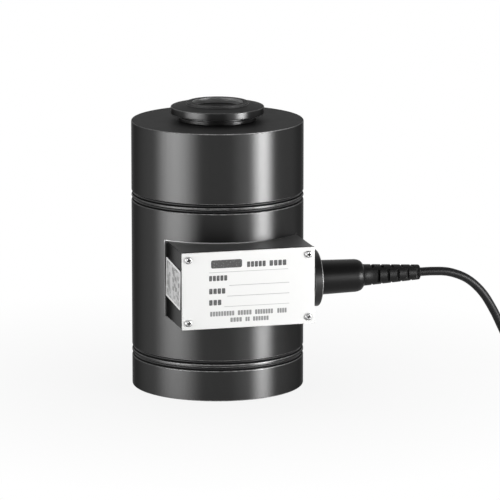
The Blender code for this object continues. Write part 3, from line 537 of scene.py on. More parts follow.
tube = ring("case_shell", tube_low, tube_high, EDGE_ROUNDING)
lower_ring = ring("lower_land", lower_low, lower_high, LAND_ROUNDING)
upper_ring = ring("upper_land", upper_low, upper_high, LAND_ROUNDING)
for piece, replaced in (
    (base, "base"), (head, "spring_element"), (tube, "case_tube"),
    (lower_ring, "lower_spacer_ring"), (upper_ring, "upper_spacer_ring"),
):
    blacken(piece)
    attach(piece, "root")
    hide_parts(replaced)

# Load button. It is turned from hardened steel and blackened like the body: a foot ring, an undercut
# neck, a wall, a low domed shoulder and a boss, whose bare, bored recess holds a countersunk hole,
# tapped for a lifting eyebolt.
THREAD_PITCH = 2.5
THREAD_DEPTH = 1.3
THREAD_ROUNDING = 0.12
THREAD_START = 1.5            # above the hole's floor
HOLE_RADIUS = 8.75
HOLE_DEPTH = 20
COUNTERSINK = 1.8
RECESS_RADIUS = 20.5
BOSS_RADIUS = 25
BUTTON_RADIUS = 38
NECK_RADIUS = 30
FOOT_RING_RADIUS = 31.5
BUTTON_SPIGOT_RADIUS = 20
BUTTON_SPIGOT_LENGTH = 30
button_foot = rim + TOUCH / MM
foot_ring_top = rim + 2.9
recess_floor = rim + 10.0
boss_top = rim + 14.7
spigot_end = rim - BUTTON_SPIGOT_LENGTH
hole_floor = recess_floor - HOLE_DEPTH
thread = []
height = hole_floor + THREAD_START
while height + THREAD_PITCH < recess_floor - COUNTERSINK:
    thread.append((HOLE_RADIUS - THREAD_DEPTH, height + THREAD_PITCH / 2, THREAD_ROUNDING))
    thread.append((HOLE_RADIUS, height + THREAD_PITCH, THREAD_ROUNDING))
    height += THREAD_PITCH
button = turned("load_button_body", [
    (0, hole_floor, 0), (HOLE_RADIUS, hole_floor, 0), (HOLE_RADIUS, hole_floor + THREAD_START, 0),
    *thread,
    (HOLE_RADIUS, recess_floor - COUNTERSINK, 0.2), (HOLE_RADIUS + COUNTERSINK, recess_floor, 0.2),
    (RECESS_RADIUS, recess_floor, 0.6), (RECESS_RADIUS, boss_top, 0.3), (BOSS_RADIUS, boss_top, 0.5),
    (BOSS_RADIUS, rim + 12.8, 0.5), (29.5, rim + 12.35, 0.3), (34, rim + 11.75, 0.3),
    (BUTTON_RADIUS, rim + 11.0, 0.7), (BUTTON_RADIUS - 0.2, rim + 5.4, 0.5),
    (NECK_RADIUS, rim + 4.1, 0.4), (NECK_RADIUS, foot_ring_top, 0.3),
    (FOOT_RING_RADIUS, foot_ring_top, 0.5), (FOOT_RING_RADIUS, button_foot, 0.2),
    (BUTTON_SPIGOT_RADIUS, button_foot, 0), (BUTTON_SPIGOT_RADIUS, spigot_end, 1.0), (0, spigot_end, 0),
], steps=144)
bare_steel = blank("bare_bored_steel")
place = node(bare_steel, "TexCoord", {})["Object"]
rings = node(bare_steel, "Mapping", {"Vector": place, "Scale": (20, 20, 1200)})["Vector"]
marks = node(bare_steel, "TexNoise", {"Vector": rings, "Scale": 1, "Detail": 3})["Fac"]
relief = node(bare_steel, "Bump", {"Height": marks, "Strength": 0.2, "Distance": 0.03 * MM})["Normal"]
tone = node(bare_steel, "Mix", {0: marks, 6: linear("b4b4b4"), 7: linear("dcdcdc")}, data_type="RGBA")[2]
shader = node(bare_steel, "BsdfPrincipled", {
    "Base Color": tone, "Metallic": 0.4, "Roughness": 0.4, "Normal": relief,
})["BSDF"]
node(bare_steel, "OutputMaterial", {"Surface": shader})
blacken(button)
button.data.materials.append(bare_steel)
for face in button.data.polygons:
    reach = face.center.xy.length / MM
    upright = abs(face.normal.z) < 0.3
    in_recess = reach < RECESS_RADIUS + 1
    if in_recess or upright and reach < BOSS_RADIUS + 1:
        face.material_index = 1
    if in_recess and upright and reach > RECESS_RADIUS - 0.3 and face.center.z > recess_floor * MM:
        face.material_index = 2
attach(button, "root")
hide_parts("load_button")

# Seals. Four O-rings of black nitrile rubber sit in the slots above and below each bright ring and
# show as dark, dull lines.
SEAL_MIDDLE = 67.45
SEAL_PLAY = 0.4               # of each O-ring in the height of its slot
nitrile = grained("moulded_nitrile_rubber", "121213", 900, 2, (0.35, 0.5), specular=0.4)
for name, low, high in (
    ("lower_o_ring_bottom", base_top, lower_low.z / MM),
    ("lower_o_ring_top", lower_high.z / MM, tube_low.z / MM),
    ("upper_o_ring_bottom", tube_high.z / MM, upper_low.z / MM),
    ("upper_o_ring_top", upper_high.z / MM, head_foot),
):
    bpy.ops.mesh.primitive_torus_add(
        location=(0, 0, 0), major_segments=160, minor_segments=14, major_radius=SEAL_MIDDLE * MM,
        minor_radius=(high - low - SEAL_PLAY) / 2 * MM,
    )
    seal = bpy.context.object
    seal.name = f"{name}_seal"
    bpy.ops.object.mode_set(mode="EDIT")
    bpy.ops.transform.translate(value=(0, 0, (low + high) / 2 * MM))
    bpy.ops.object.mode_set(mode="OBJECT")
    bpy.ops.object.shade_smooth()
    seal.data.materials.append(nitrile)
    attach(seal, "root")
    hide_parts(name)

# Terminal box. A small milled steel box, cut at its back to sit on the case tube and brazed there:
# the thin bead of silver braze catches the light. Its black oxide is smoother than the turned
# body's, and its top is painted lighter: partly fine dust, partly painted light from above.
box_low, box_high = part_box("terminal_box")
milled_oxide = blank("black_oxide_on_milled_steel")
place = node(milled_oxide, "TexCoord", {})
grain = node(milled_oxide, "TexNoise", {"Vector": place["Object"], "Scale": 420, "Detail": 3})["Fac"]
# Top painted lighter than the sides: partly dust, partly painted light from above.
top_dust_and_light_mask = node(milled_oxide, "SeparateXYZ", {"Vector": place["Normal"]})["Z"]
top_dust_and_light_mask = node(milled_oxide, "MapRange", {"Value": top_dust_and_light_mask, "From Min": 0.6, "From Max": 0.95})["Result"]
patches = node(milled_oxide, "TexNoise", {"Vector": place["Object"], "Scale": 70, "Detail": 4})["Fac"]
patches = node(milled_oxide, "MapRange", {"Value": patches, "To Min": 0.6, "To Max": 1})["Result"]
dust_and_painted_top_light = node(milled_oxide, "Math", {0: top_dust_and_light_mask, 1: patches}, operation="MULTIPLY")["Value"]
tone = node(milled_oxide, "Mix", {0: dust_and_painted_top_light, 6: linear("333333"), 7: linear("888888")}, data_type="RGBA")[2]
metal = node(milled_oxide, "MapRange", {"Value": dust_and_painted_top_light, "To Min": 1, "To Max": 0.35})["Result"]
gloss = node(milled_oxide, "MapRange", {"Value": grain, "To Min": 0.13, "To Max": 0.19})["Result"]
gloss = node(milled_oxide, "Math", {0: dust_and_painted_top_light, 1: 0.3, 2: gloss}, operation="MULTIPLY_ADD")["Value"]
relief = node(milled_oxide, "Bump", {"Height": grain, "Strength": 0.06, "Distance": 0.01 * MM})["Normal"]
shader = node(milled_oxide, "BsdfPrincipled", {
    "Base Color": tone, "Metallic": metal, "Roughness": gloss, "Normal": relief,
    "Specular Tint": linear("d8d8d8"),
})["BSDF"]
node(milled_oxide, "OutputMaterial", {"Surface": shader})
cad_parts["terminal_box"].data.materials.clear()
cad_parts["terminal_box"].data.materials.append(milled_oxide)

# Bead of braze round the box's back. It is painted darker down the sides and towards its right end:
# painted shade, which leaves a painted highlight along its top and left end.
BEAD_RADIUS = 0.5 * MM
BEAD_LIFT = 0.25 * MM
BEAD_STEPS = 40               # along its top, and along its bottom
# Painted highlight: how far down from the bead's top edge it stays bright.
BEAD_PAINTED_HIGHLIGHT = 4 * MM          # how far down from its top edge it stays bright
reach = BODY_RADIUS * MM + BEAD_LIFT
side_x = box_high.x + BEAD_LIFT
side_angle = math.asin(side_x / reach)
bead_points = []
for level, sweep in ((box_high.z + BEAD_LIFT, 1), (box_low.z - BEAD_LIFT, -1)):
    for i in range(BEAD_STEPS + 1):
        angle = side_angle * sweep * (2 * i / BEAD_STEPS - 1)
        bead_points.append(Vector((reach * math.sin(angle), -reach * math.cos(angle), level)))
bead_data = bpy.data.curves.new("box_bead", "CURVE")
bead_data.dimensions = "3D"
bead_data.bevel_depth = BEAD_RADIUS
bead_data.bevel_resolution = 3
bead_line = bead_data.splines.new("POLY")
bead_line.points.add(len(bead_points) - 1)
for knot, point in zip(bead_line.points, bead_points):
    knot.co = (*point, 1)
bead_line.use_cyclic_u = True
bead = bpy.data.objects.new("box_bead", bead_data)
scene.collection.objects.link(bead)
braze = blank("silver_braze")
place = node(braze, "TexCoord", {})["Object"]
ripple = node(braze, "TexNoise", {"Vector": place, "Scale": 600, "Detail": 2})["Fac"]
gloss = node(braze, "MapRange", {"Value": ripple, "To Min": 0.45, "To Max": 0.6})["Result"]
along = node(braze, "SeparateXYZ", {"Vector": place})
# Painted shade: darker towards the right end and down the sides.
bead_painted_shade = node(braze, "MapRange", {"Value": along["X"], "From Min": -15 * MM, "From Max": 30 * MM})["Result"]
shade_down_sides = node(braze, "MapRange", {
    "Value": along["Z"], "From Min": box_high.z - BEAD_PAINTED_HIGHLIGHT, "From Max": box_high.z,
    "To Min": 0.8, "To Max": 0,
})["Result"]
bead_painted_shade = node(braze, "Math", {0: bead_painted_shade, 1: shade_down_sides}, operation="MAXIMUM")["Value"]
tone = node(braze, "Mix", {0: bead_painted_shade, 6: linear("dcdcdc"), 7: linear("3c3c3c")}, data_type="RGBA")[2]
shader = node(braze, "BsdfPrincipled", {"Base Color": tone, "Metallic": 1, "Roughness": gloss})["BSDF"]
node(braze, "OutputMaterial", {"Surface": shader})
bead.data.materials.append(braze)
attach(bead, "root")

# Nameplate. An aluminium sheet with white stove enamel on its face and printed ruled lines for the
# cell's data, which stay empty. It covers the box, over a rubber gasket.
SCREW_INSET_X = 5.2 * MM
SCREW_INSET_Z = 5.6 * MM
SCREW_HOLE_RADIUS = 1.8 * MM
plate_low, plate_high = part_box("name_plate")
face_y = plate_low.y
plate_z = (plate_low.z + plate_high.z) / 2
screw_x = plate_high.x - SCREW_INSET_X
screw_z = (plate_high.z - plate_low.z) / 2 - SCREW_INSET_Z


def cut(piece, cutter):
    """Cuts one piece with another, which is used up."""
    modifier = piece.modifiers.new("Cut", "BOOLEAN")
    modifier.solver = "EXACT"
    modifier.object = cutter
    apply_all(piece)
    bpy.data.objects.remove(cutter, do_unlink=True)


plate = start_block("nameplate", plate_low, plate_high)
bpy.ops.mesh.bevel(offset=0.35 * MM, segments=3)
bpy.ops.object.mode_set(mode="OBJECT")
screw_places = [(x, plate_z + z) for x in (-screw_x, screw_x) for z in (-screw_z, screw_z)]
for x, z in screw_places:
    bpy.ops.mesh.primitive_cylinder_add(
        vertices=32, radius=SCREW_HOLE_RADIUS, depth=10 * MM, location=(x, face_y, z),
        rotation=(math.pi / 2, 0, 0),
    )
    cut(plate, bpy.context.object)
bpy.ops.object.shade_smooth_by_angle(angle=SMOOTH_ANGLE)
white_enamel = grained("white_stove_enamel", "ebebea", 160, 3, (0.34, 0.42))
plate.data.materials.append(white_enamel)
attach(plate, "root")
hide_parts("name_plate")

# Print on the nameplate, screened in one thin film of ink: a plain bar for a title, small blocks in
# the place of words, and ruled lines for the data. A row has its colour, the width of a letter where
# its marks are split into blocks, and its marks as (left, right, low, high), all in millimetres.
INK_THICKNESS = 0.04 * MM
LETTER_PITCH = 1.32           # in widths of a letter
LETTER_GAP = 0.2              # share of the pitch
CORNER_SHARE = 0.22           # rounding of a mark, as a share of its smaller side
PRINT_ROWS = {
    "print_title": ("484848", 0, [(-30.8, -5.4, 116.5, 123.1)]),
    "print_words": ("525252", 2.5, [
        (-1.3, 14.6, 116.3, 120.8), (17.2, 31.6, 116.3, 120.8), (-32.4, -17.0, 106.3, 110.6),
        (-32.4, -18.5, 95.8, 100.2), (-32.4, -21.8, 86.6, 91.0),
    ]),
    "print_small_words": ("8c8c8c", 1.7, [
        (-31.6, -11.4, 77.7, 81.5), (-8.9, 2.8, 77.7, 81.5), (5.3, 20.4, 77.7, 81.5),
        (23.6, 31.6, 77.7, 81.5), (-15.0, -5.2, 72.4, 75.9), (-2.6, 1.2, 72.4, 75.9),
        (3.6, 16.8, 72.4, 75.9),
    ]),
    "print_rules": ("b8b8b8", 0, [
        (-32.4, 32.5, 113.0, 113.4), (-16.0, 33.5, 101.9, 102.4), (-17.5, 33.5, 93.3, 93.8),
        (-20.0, 33.5, 84.9, 85.3),
    ]),
}
for name, (hex_colour, letter, bars) in PRINT_ROWS.items():
    blocks = []
    for left, rightmost, low, high in bars:
        count = round((rightmost - left) / (letter * LETTER_PITCH)) if letter else 1
        pitch = (rightmost - left) / count
        gap = LETTER_GAP * pitch if letter else 0
        blocks += [(left + pitch * i, left + pitch * (i + 1) - gap, low, high) for i in range(count)]
    bpy.ops.mesh.primitive_plane_add(size=1, location=(0, 0, 0))
    marks = bpy.context.object
    marks.name = name
    marks.data.name = name
    shape = bmesh.new()
    for left, rightmost, low, high in blocks:
        corners = [(left, low), (rightmost, low), (rightmost, high), (left, high)]
        shape.faces.new([shape.verts.new((x * MM, face_y + INK_THICKNESS, z * MM)) for x, z in corners])
    shape.to_mesh(marks.data)
    shape.free()
    bpy.ops.object.mode_set(mode="EDIT")
    bpy.ops.mesh.select_all(action="SELECT")
    smallest = min(min(high - low, rightmost - left) for left, rightmost, low, high in blocks)
    bpy.ops.mesh.select_mode(type="VERT")
    bpy.ops.mesh.bevel(offset=smallest * CORNER_SHARE * MM, segments=3, affect="VERTICES")
    bpy.ops.mesh.select_all(action="SELECT")
    bpy.ops.mesh.extrude_region_move(TRANSFORM_OT_translate={"value": (0, -2 * INK_THICKNESS, 0)})
    bpy.ops.mesh.select_all(action="SELECT")
    bpy.ops.mesh.normals_make_consistent(inside=False)
    bpy.ops.object.mode_set(mode="OBJECT")
    ink = blank(f"screen_ink_{name}")
    place = node(ink, "TexCoord", {})["Object"]
    wear = node(ink, "TexNoise", {"Vector": place, "Scale": 900, "Detail": 3})["Fac"]
    wear = node(ink, "MapRange", {
        "Value": wear, "From Min": 0.55, "From Max": 0.8, "To Max": 0.35,
    })["Result"]
    tone = node(ink, "Mix", {0: wear, 6: linear(hex_colour), 7: linear("c8c8c8")}, data_type="RGBA")[2]
    shader = node(ink, "BsdfPrincipled", {"Base Color": tone, "Roughness": 0.5})["BSDF"]
    node(ink, "OutputMaterial", {"Surface": shader})
    marks.data.materials.append(ink)
    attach(marks, "root")

# Cover screws. Four M3 pan-head machine screws of zinc-plated steel. The cross recess and the
# underside of each head are painted dark: painted shade. One is modelled and copied to the four corners.
HEAD_RADIUS = 2.9
SHANK_RADIUS = 1.5
SHANK_LENGTH = 9.5
CROSS_REACH = 1.9
CROSS_HALF_WIDTH = 0.6
# Painted shade ends this far below the head's top; nearer the top the head shows plain zinc.
SCREW_SHADE_TOP = -1.6 * MM         # nearer to the head's top than this, it is rubbed clean
SCREW_TURNS = (4, -7, 10, -3)
zinc_plate = grained("zinc_plated_steel", "d6d6d6", 700, 3, (0.3, 0.45), metal=1)
painted_screw_shade = grained("painted_shade_in_screw_recess", "1c1c1c", 1500, 2, (0.7, 0.7), peaks="3c3c3c")
screw = turned("cover_screw", [
    (0, 1.9, 0), (HEAD_RADIUS - 0.6, 1.75, 0.5), (HEAD_RADIUS, 0.9, 0.4), (HEAD_RADIUS, 0, 0.1),
    (SHANK_RADIUS, 0, 0), (SHANK_RADIUS, -SHANK_LENGTH, 0.3), (0, -SHANK_LENGTH, 0),
], steps=48, along=(0, -1, 0))
screw.data.materials.append(zinc_plate)
for x, z in ((CROSS_REACH, CROSS_HALF_WIDTH), (CROSS_HALF_WIDTH, CROSS_REACH)):
    recess = start_block("cross_recess", Vector((-x, -2.6, -z)) * MM, Vector((x, -0.7, z)) * MM)
    pick(recess, "FACE", lambda middle, normal: normal.y > 0.9)
    bpy.ops.transform.resize(value=(0.7, 1, 0.7))
    bpy.ops.object.mode_set(mode="OBJECT")
    cut(screw, recess)
screw.data.materials.append(painted_screw_shade)
# Painted shade in the cross recess and under the head.
for face in screw.data.polygons:
    inside = math.hypot(face.center.x, face.center.z) < CROSS_REACH * MM
    under = face.normal.z < -0.35 and SCREW_SHADE_TOP < face.center.y < 0
    if under or inside and SCREW_SHADE_TOP < face.center.y < -0.5 * MM:
        face.material_index = 1
bpy.ops.object.shade_smooth_by_angle(angle=SMOOTH_ANGLE)
for count, ((x, z), degrees) in enumerate(zip(screw_places, SCREW_TURNS), 1):
    copied = bpy.data.objects.new(f"cover_screw_{count}_head", screw.data.copy())
    scene.collection.objects.link(copied)
    spin = Matrix.Rotation(math.radians(degrees), 4, "Y")
    copied.data.transform(Matrix.Translation((x, face_y - 0.05 * MM, z)) @ spin)
    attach(copied, "root")
    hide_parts(f"cover_screw_{count}")
bpy.data.objects.remove(screw, do_unlink=True)

# Side label. A silver foil sticker on the box's left side, put on a little askew, with a bright plain
# border round a field of grey blocks that stand for its print. The foil is slightly crinkled.
LABEL_HEIGHT = 32 * MM
LABEL_LIFT = 1.6 * MM
LABEL_TILT = 3.6
LABEL_BORDER = 1.8 * MM
label_low, label_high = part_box("side_label")
label_middle = (label_low + label_high) / 2 + Vector((0, 0, LABEL_LIFT))
half_depth = (label_high.y - label_low.y) / 2
half_size = Vector(((label_high.x - label_low.x) / 2, half_depth, LABEL_HEIGHT / 2))
label = start_block("foil_label", label_middle - half_size, label_middle + half_size)
pick(label, "EDGE", lambda a, b: abs(a.x - b.x) > 0.2 * MM)
bpy.ops.mesh.bevel(offset=1.0 * MM, segments=4)
bpy.ops.object.mode_set(mode="OBJECT")
tilt = Matrix.Rotation(math.radians(LABEL_TILT), 4, "X")
label.data.transform(Matrix.Translation(label_middle) @ tilt @ Matrix.Translation(-label_middle))
foil = blank("printed_aluminium_foil")
place = node(foil, "TexCoord", {})["Object"]
crinkle = node(foil, "TexNoise", {"Vector": place, "Scale": 90, "Detail": 4, "Roughness": 0.6})["Fac"]
relief = node(foil, "Bump", {"Height": crinkle, "Strength": 0.5, "Distance": 0.2 * MM})["Normal"]
field = node(foil, "VectorMath", {0: place, 1: label_middle}, operation="SUBTRACT")["Vector"]
field = node(foil, "VectorRotate", {
    "Vector": field, "Angle": math.radians(-LABEL_TILT),
}, rotation_type="X_AXIS")["Vector"]
field = node(foil, "VectorMath", {0: field}, operation="ABSOLUTE")["Vector"]
field = node(foil, "SeparateXYZ", {"Vector": field})
inside_y = node(foil, "Math", {
    0: field["Y"], 1: half_depth - LABEL_BORDER,
}, operation="LESS_THAN")["Value"]
inside_z = node(foil, "Math", {
    0: field["Z"], 1: LABEL_HEIGHT / 2 - LABEL_BORDER,
}, operation="LESS_THAN")["Value"]
printed = node(foil, "Math", {0: inside_y, 1: inside_z}, operation="MULTIPLY")["Value"]
stretched = node(foil, "Mapping", {"Vector": place, "Scale": (1, 0.6, 1)})["Vector"]
cells = node(foil, "TexVoronoi", {"Vector": stretched, "Scale": 320}, distance="CHEBYCHEV")["Color"]
dots = node(foil, "SeparateColor", {"Color": cells})["Red"]
patches = node(foil, "TexNoise", {"Vector": place, "Scale": 110, "Detail": 1})["Fac"]
dots = node(foil, "Math", {0: dots, 1: patches}, operation="MULTIPLY")["Value"]
shade = node(foil, "ValToRGB", {"Fac": dots})
ramp = shade[0].node.color_ramp
ramp.elements[0].position = 0.08
ramp.elements[0].color = linear("8c8c8c")
ramp.elements[1].position = 0.38
ramp.elements[1].color = linear("cccccc")
tone = node(foil, "Mix", {0: printed, 6: linear("e4e4e4"), 7: shade["Color"]}, data_type="RGBA")[2]
shader = node(foil, "BsdfPrincipled", {
    "Base Color": tone, "Metallic": 0.2, "Roughness": 0.45, "Normal": relief,
})["BSDF"]
node(foil, "OutputMaterial", {"Surface": shader})
label.data.materials.append(foil)
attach(label, "root")
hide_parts("side_label")

# Cable gland. A round flange of dark nickel-plated brass on a rubber gasket, with its edge painted
# lighter, partly rubbed wear and partly a painted highlight, and over its outer stub a glossy nylon
# sleeve with a rounded shoulder. Both are round the cable's axis.
FLANGE_RADIUS = 23
FLANGE_BORE = 4.5
OUTER_STUB_RADIUS = 10.5
INNER_STUB_RADIUS = 9
SLEEVE_RADIUS = 14.0
SLEEVE_BORE = 10.8
SLEEVE_MOUTH = 9.15
MOUTH_LENGTH = 7.3
GLAND = {"centre": (0, gland_y, gland_z), "along": (1, 0, 0), "side": (0, 0, 1)}
flange_low, flange_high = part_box("gland_flange")
sleeve_low, sleeve_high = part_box("gland_sleeve")
flange_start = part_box("gland_gasket")[1].x / MM + TOUCH / MM
flange_end = sleeve_low.x / MM - TOUCH / MM
nickel = grained("dark_nickel_plate", "4c4c4c", 220, 3, (0.28, 0.38), metal=1)
flange = turned("gland_flange_body", [
    (OUTER_STUB_RADIUS, flange_high.x / MM, 0.5), (OUTER_STUB_RADIUS, flange_end, 0.4),
    (FLANGE_RADIUS, flange_end, 0.8), (FLANGE_RADIUS, flange_start, 0.6),
    (INNER_STUB_RADIUS, flange_start, 0), (INNER_STUB_RADIUS, flange_low.x / MM, 0.5),
    (FLANGE_BORE, flange_low.x / MM, 0.3), (FLANGE_BORE, flange_high.x / MM, 0.3),
], steps=128, closed=True, **GLAND)
rubbed_and_highlit_nickel = grained("nickel_edge_wear_and_painted_highlight", "707070", 400, 2, (0.4, 0.4), metal=0.6, peaks="a4a4a4")
flange.data.materials.append(nickel)
flange.data.materials.append(rubbed_and_highlit_nickel)
# Edge painted lighter: partly rubbed wear, partly a painted highlight.
for face in flange.data.polygons:
    from_axis = math.hypot(face.center.y - gland_y, face.center.z - gland_z)
    on_edge = from_axis > (FLANGE_RADIUS - 1) * MM and 0.15 < abs(face.normal.x) < 0.9
    face.material_index = int(on_edge)
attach(flange, "root")
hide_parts("gland_flange")

nylon = grained("moulded_nylon_6", "0a0a0a", 800, 2, (0.32, 0.4), (0.2, 0.03), specular=0.28)
sleeve_start = sleeve_low.x / MM
sleeve_end = sleeve_high.x / MM
sleeve = turned("gland_sleeve_body", [
    (SLEEVE_MOUTH, sleeve_end, 0.3), (SLEEVE_MOUTH + 0.7, sleeve_end, 0.2),
    (11.9, sleeve_end - 1.6, 0.8), (13.2, sleeve_end - 4.6, 1.8), (13.9, sleeve_start + 6, 0),
    (13.9, sleeve_start + 5.2, 0.2), (SLEEVE_RADIUS, sleeve_start, 0.5), (SLEEVE_BORE, sleeve_start, 0),
    (SLEEVE_BORE, sleeve_end - MOUTH_LENGTH, 0), (SLEEVE_MOUTH, sleeve_end - MOUTH_LENGTH, 0),
], steps=128, closed=True, **GLAND)
sleeve.data.materials.append(nylon)
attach(sleeve, "root")
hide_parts("gland_sleeve")

# Strain relief. A tapered boot of black rubber, moulded with pairs of slots in turn from top and
# bottom and from front and back, so that it bends evenly with the cable.
BOOT_ROOT = 8.85
BOOT_TIP = 6.05
BOOT_BORE = 3.8
COLLAR_RADIUS = 10.5
COLLAR_DEPTH = 7.6            # inside the sleeve's end
SLOT_COUNT = 10
SLOT_PITCH = 8.25             # from one slot to the next of the same pair of sides
SLOT_WIDTH = 2.2
SLOT_FIRST = 8.0              # from the sleeve's end
SLOT_SHARE = 0.62             # of the boot's radius, to each side of the slot's middle
SLOT_FLOOR = 4.9              # from the axis
SLOT_MOUTH = 12
SLOT_EDGE = 0.35 * MM
relief_end = relief_high.x / MM
relief_length = relief_end - sleeve_end
boot = turned("relief_boot", [
    (BOOT_BORE, relief_end, 0.3), (BOOT_TIP, relief_end, 0.8), (BOOT_ROOT, sleeve_end, 0),
    (BOOT_ROOT, sleeve_end - COLLAR_DEPTH, 0), (COLLAR_RADIUS, sleeve_end - COLLAR_DEPTH, 0),
    (COLLAR_RADIUS, relief_low.x / MM, 0), (BOOT_BORE, relief_low.x / MM, 0),
], steps=128, closed=True, **GLAND)
for i in range(SLOT_COUNT):
    x = sleeve_end + SLOT_FIRST + i * SLOT_PITCH / 2
    radius = BOOT_ROOT - (BOOT_ROOT - BOOT_TIP) * (x - sleeve_end) / relief_length
    for side in (-1, 1):
        spans = [(-radius * SLOT_SHARE, radius * SLOT_SHARE), sorted((side * SLOT_FLOOR, side * SLOT_MOUTH))]
        y_span, z_span = reversed(spans) if i % 2 else spans
        low = Vector((x - SLOT_WIDTH / 2, gland_y / MM + y_span[0], gland_z / MM + z_span[0]))
        high = Vector((x + SLOT_WIDTH / 2, gland_y / MM + y_span[1], gland_z / MM + z_span[1]))
        slot_cutter = start_block("slot", low * MM, high * MM)
        bpy.ops.mesh.bevel(offset=SLOT_EDGE, segments=2)
        bpy.ops.object.mode_set(mode="OBJECT")
        cut(boot, slot_cutter)
bpy.ops.object.shade_smooth_by_angle(angle=SMOOTH_ANGLE)
rubber = grained("moulded_neoprene_rubber", "0c0c0c", 700, 3, (0.42, 0.56), (0.25, 0.04), specular=0.25)
boot.data.materials.append(rubber)
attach(boot, "root")
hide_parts("strain_relief")

# Pieces inside the box and the body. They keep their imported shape, and each gets the finish of the
# real one: rubber seals, plated nut, washer and screws, glass-epoxy board, nylon terminals, coloured
# cores, polyimide gauges and enamelled wire.
inner = {}
for name, hex_colour, metal, scale in (
    ("green_glass_epoxy", "2d6a45", 0, 260), ("grey_terminal_nylon", "7f8486", 0, 700),
    ("amber_polyimide_film", "b5762a", 0, 400), ("enamelled_copper_wire", "9c4f2a", 0.8, 900),
):
    inner[name] = blank(name)
    place = node(inner[name], "TexCoord", {})["Object"]
    grain = node(inner[name], "TexNoise", {"Vector": place, "Scale": scale, "Detail": 3})["Fac"]
    gloss = node(inner[name], "MapRange", {"Value": grain, "To Min": 0.3, "To Max": 0.5})["Result"]
    light = node(inner[name], "MapRange", {"Value": grain, "To Min": 0.85, "To Max": 1.1})["Result"]
    tone = node(inner[name], "HueSaturation", {"Color": linear(hex_colour), "Value": light})["Color"]
    shader = node(inner[name], "BsdfPrincipled", {
        "Base Color": tone, "Metallic": metal, "Roughness": gloss,
    })["BSDF"]
    node(inner[name], "OutputMaterial", {"Surface": shader})
INNER_FINISHES = (
    (nitrile, "rubber", ["cover_gasket", "gland_gasket", "gland_bush"]),
    (nickel, "gland_metal", ["gland_locknut"]),
    (zinc_plate, "screws", ["gland_washer", *(f"board_screw_{i}" for i in range(1, 5)),
                            *(f"clamp_screw_{i}" for i in range(1, 7))]),
    (pvc_sheath, "cable_sheath", ["cable_entry", "gauge_lead"]),
    (inner["green_glass_epoxy"], "board", ["terminal_board"]),
    (inner["grey_terminal_nylon"], "block_nylon", ["terminal_block"]),
    (inner["amber_polyimide_film"], "gauge_film", [f"strain_gauge_{i}" for i in range(1, 5)]),
    (inner["enamelled_copper_wire"], "wire_enamel", ["bridge_wiring"]),
    *((insulation[colour], f"core_{colour}", [f"core_{colour}"]) for colour in insulation),
)
for material, slot_name, names in INNER_FINISHES:
    for name in names:
        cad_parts[name].data.materials.clear()
        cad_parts[name].data.materials.append(material)

# Floor. A wide, matt, pale sheet. The camera sees a faint, soft shadow on it near the cell and plain
# white further out, and reflections show it partly so.
MIRRORED_SHARE = 0.4
bpy.ops.mesh.primitive_plane_add(size=60, location=(0, 0, 0))
floor = bpy.context.object
floor.name = "floor"
pale = blank("pale_matt_sheet")
place = node(pale, "TexCoord", {})["Object"]
distance = node(pale, "VectorMath", {0: place}, operation="LENGTH")["Value"]
away = node(pale, "MapRange", {
    "Value": distance, "From Min": 0.08, "From Max": 0.36, "To Min": 0.89, "To Max": 1,
})["Result"]
path = node(pale, "LightPath", {})
mirrored = node(pale, "Math", {
    0: path["Is Glossy Ray"], 1: MIRRORED_SHARE,
}, operation="MULTIPLY")["Value"]
seen = node(pale, "Math", {0: path["Is Camera Ray"], 1: mirrored}, operation="MAXIMUM")["Value"]
seen = node(pale, "Math", {0: seen, 1: path["Is Transmission Ray"]}, operation="MAXIMUM")["Value"]
share = node(pale, "Math", {0: away, 1: seen}, operation="MULTIPLY")["Value"]
sheet = node(pale, "BsdfDiffuse", {"Color": linear("bcbcbb")})["BSDF"]
plain = node(pale, "Emission", {"Color": (1, 1, 1, 1), "Strength": 1})["Emission"]
surface = node(pale, "MixShader", {"Fac": share, 1: sheet, 2: plain})["Shader"]
node(pale, "OutputMaterial", {"Surface": surface})
floor.data.materials.append(pale)
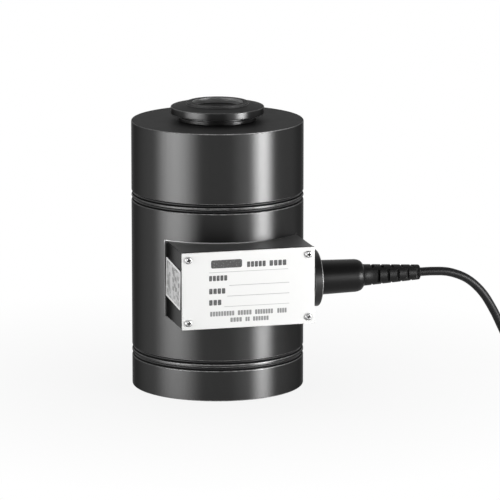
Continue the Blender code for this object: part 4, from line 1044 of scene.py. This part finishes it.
floor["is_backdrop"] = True


def softbox(name, azimuth, distance, width, low, high, radiance):
    """An upright softbox round the cell, brightest along its middle, at an azimuth from the front."""
    data = bpy.data.lights.new(name, "AREA")
    data.shape = "RECTANGLE"
    data.size = width
    data.size_y = high - low
    data.energy = radiance * math.pi * width * (high - low)
    data.use_nodes = True
    data.node_tree.nodes.clear()
    across = node(data, "SeparateXYZ", {"Vector": node(data, "NewGeometry", {})["Parametric"]})["X"]
    across = node(data, "Math", {0: across, 1: 0.5}, operation="SUBTRACT")["Value"]
    across = node(data, "Math", {0: across, 1: math.pi}, operation="MULTIPLY")["Value"]
    glow = node(data, "Math", {0: across}, operation="COSINE")["Value"]
    glow = node(data, "Math", {0: glow, 1: 2}, operation="POWER")["Value"]
    node(data, "OutputLight", {"Surface": node(data, "Emission", {"Strength": glow})["Emission"]})
    lamp = bpy.data.objects.new(name, data)
    turn = math.radians(azimuth)
    lamp.location = (distance * math.sin(turn), -distance * math.cos(turn), (low + high) / 2)
    lamp.rotation_mode = "QUATERNION"
    lamp.rotation_quaternion = Vector((math.sin(turn), -math.cos(turn), 0)).to_track_quat("Z", "Y")
    lamp.visible_camera = False
    scene.collection.objects.link(lamp)
    return lamp


# Lights. A wide softbox stands on the left and a narrow one on the right, so that the round body
# shows one broad and one narrow highlight, with a dim one between them. A large, dim one hangs above.
# The room is pale behind the cell and dark in front.
softbox("left_softbox", azimuth=-70, distance=1.0, width=1.5, low=0.005, high=0.32, radiance=9.3)
softbox("front_softbox", azimuth=22, distance=1.3, width=1.0, low=0.005, high=0.4, radiance=1.6)
softbox("right_softbox", azimuth=46, distance=1.0, width=0.72, low=0.005, high=0.3, radiance=27)
overhead = softbox(
    "overhead_softbox", azimuth=180, distance=1.8, width=2.4, low=0, high=2.0, radiance=1.2,
)
overhead.location.z = 2.2
overhead.rotation_quaternion = (1, 0, 0, 0)
world = bpy.data.worlds.new("studio")
scene.world = world
world.use_nodes = True
world.node_tree.nodes.clear()
sight = node(world, "TexCoord", {})["Generated"]
sight = node(world, "SeparateXYZ", {"Vector": sight})
behind = node(world, "MapRange", {
    "Value": sight["Y"], "From Min": -0.6, "From Max": 0.6, "To Min": 0.2, "To Max": 0.85,
}, interpolation_type="SMOOTHSTEP")["Result"]
height = node(world, "MapRange", {
    "Value": sight["Z"], "From Min": 0, "From Max": 0.5, "To Min": 1, "To Max": 0.55,
}, interpolation_type="SMOOTHSTEP")["Result"]
level = node(world, "Math", {0: behind, 1: height}, operation="MULTIPLY")["Value"]
sky = node(world, "Background", {"Color": (1, 1, 1, 1), "Strength": level})["Background"]
node(world, "OutputWorld", {"Surface": sky})
scene.view_settings.view_transform = "Standard"

low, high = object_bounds()
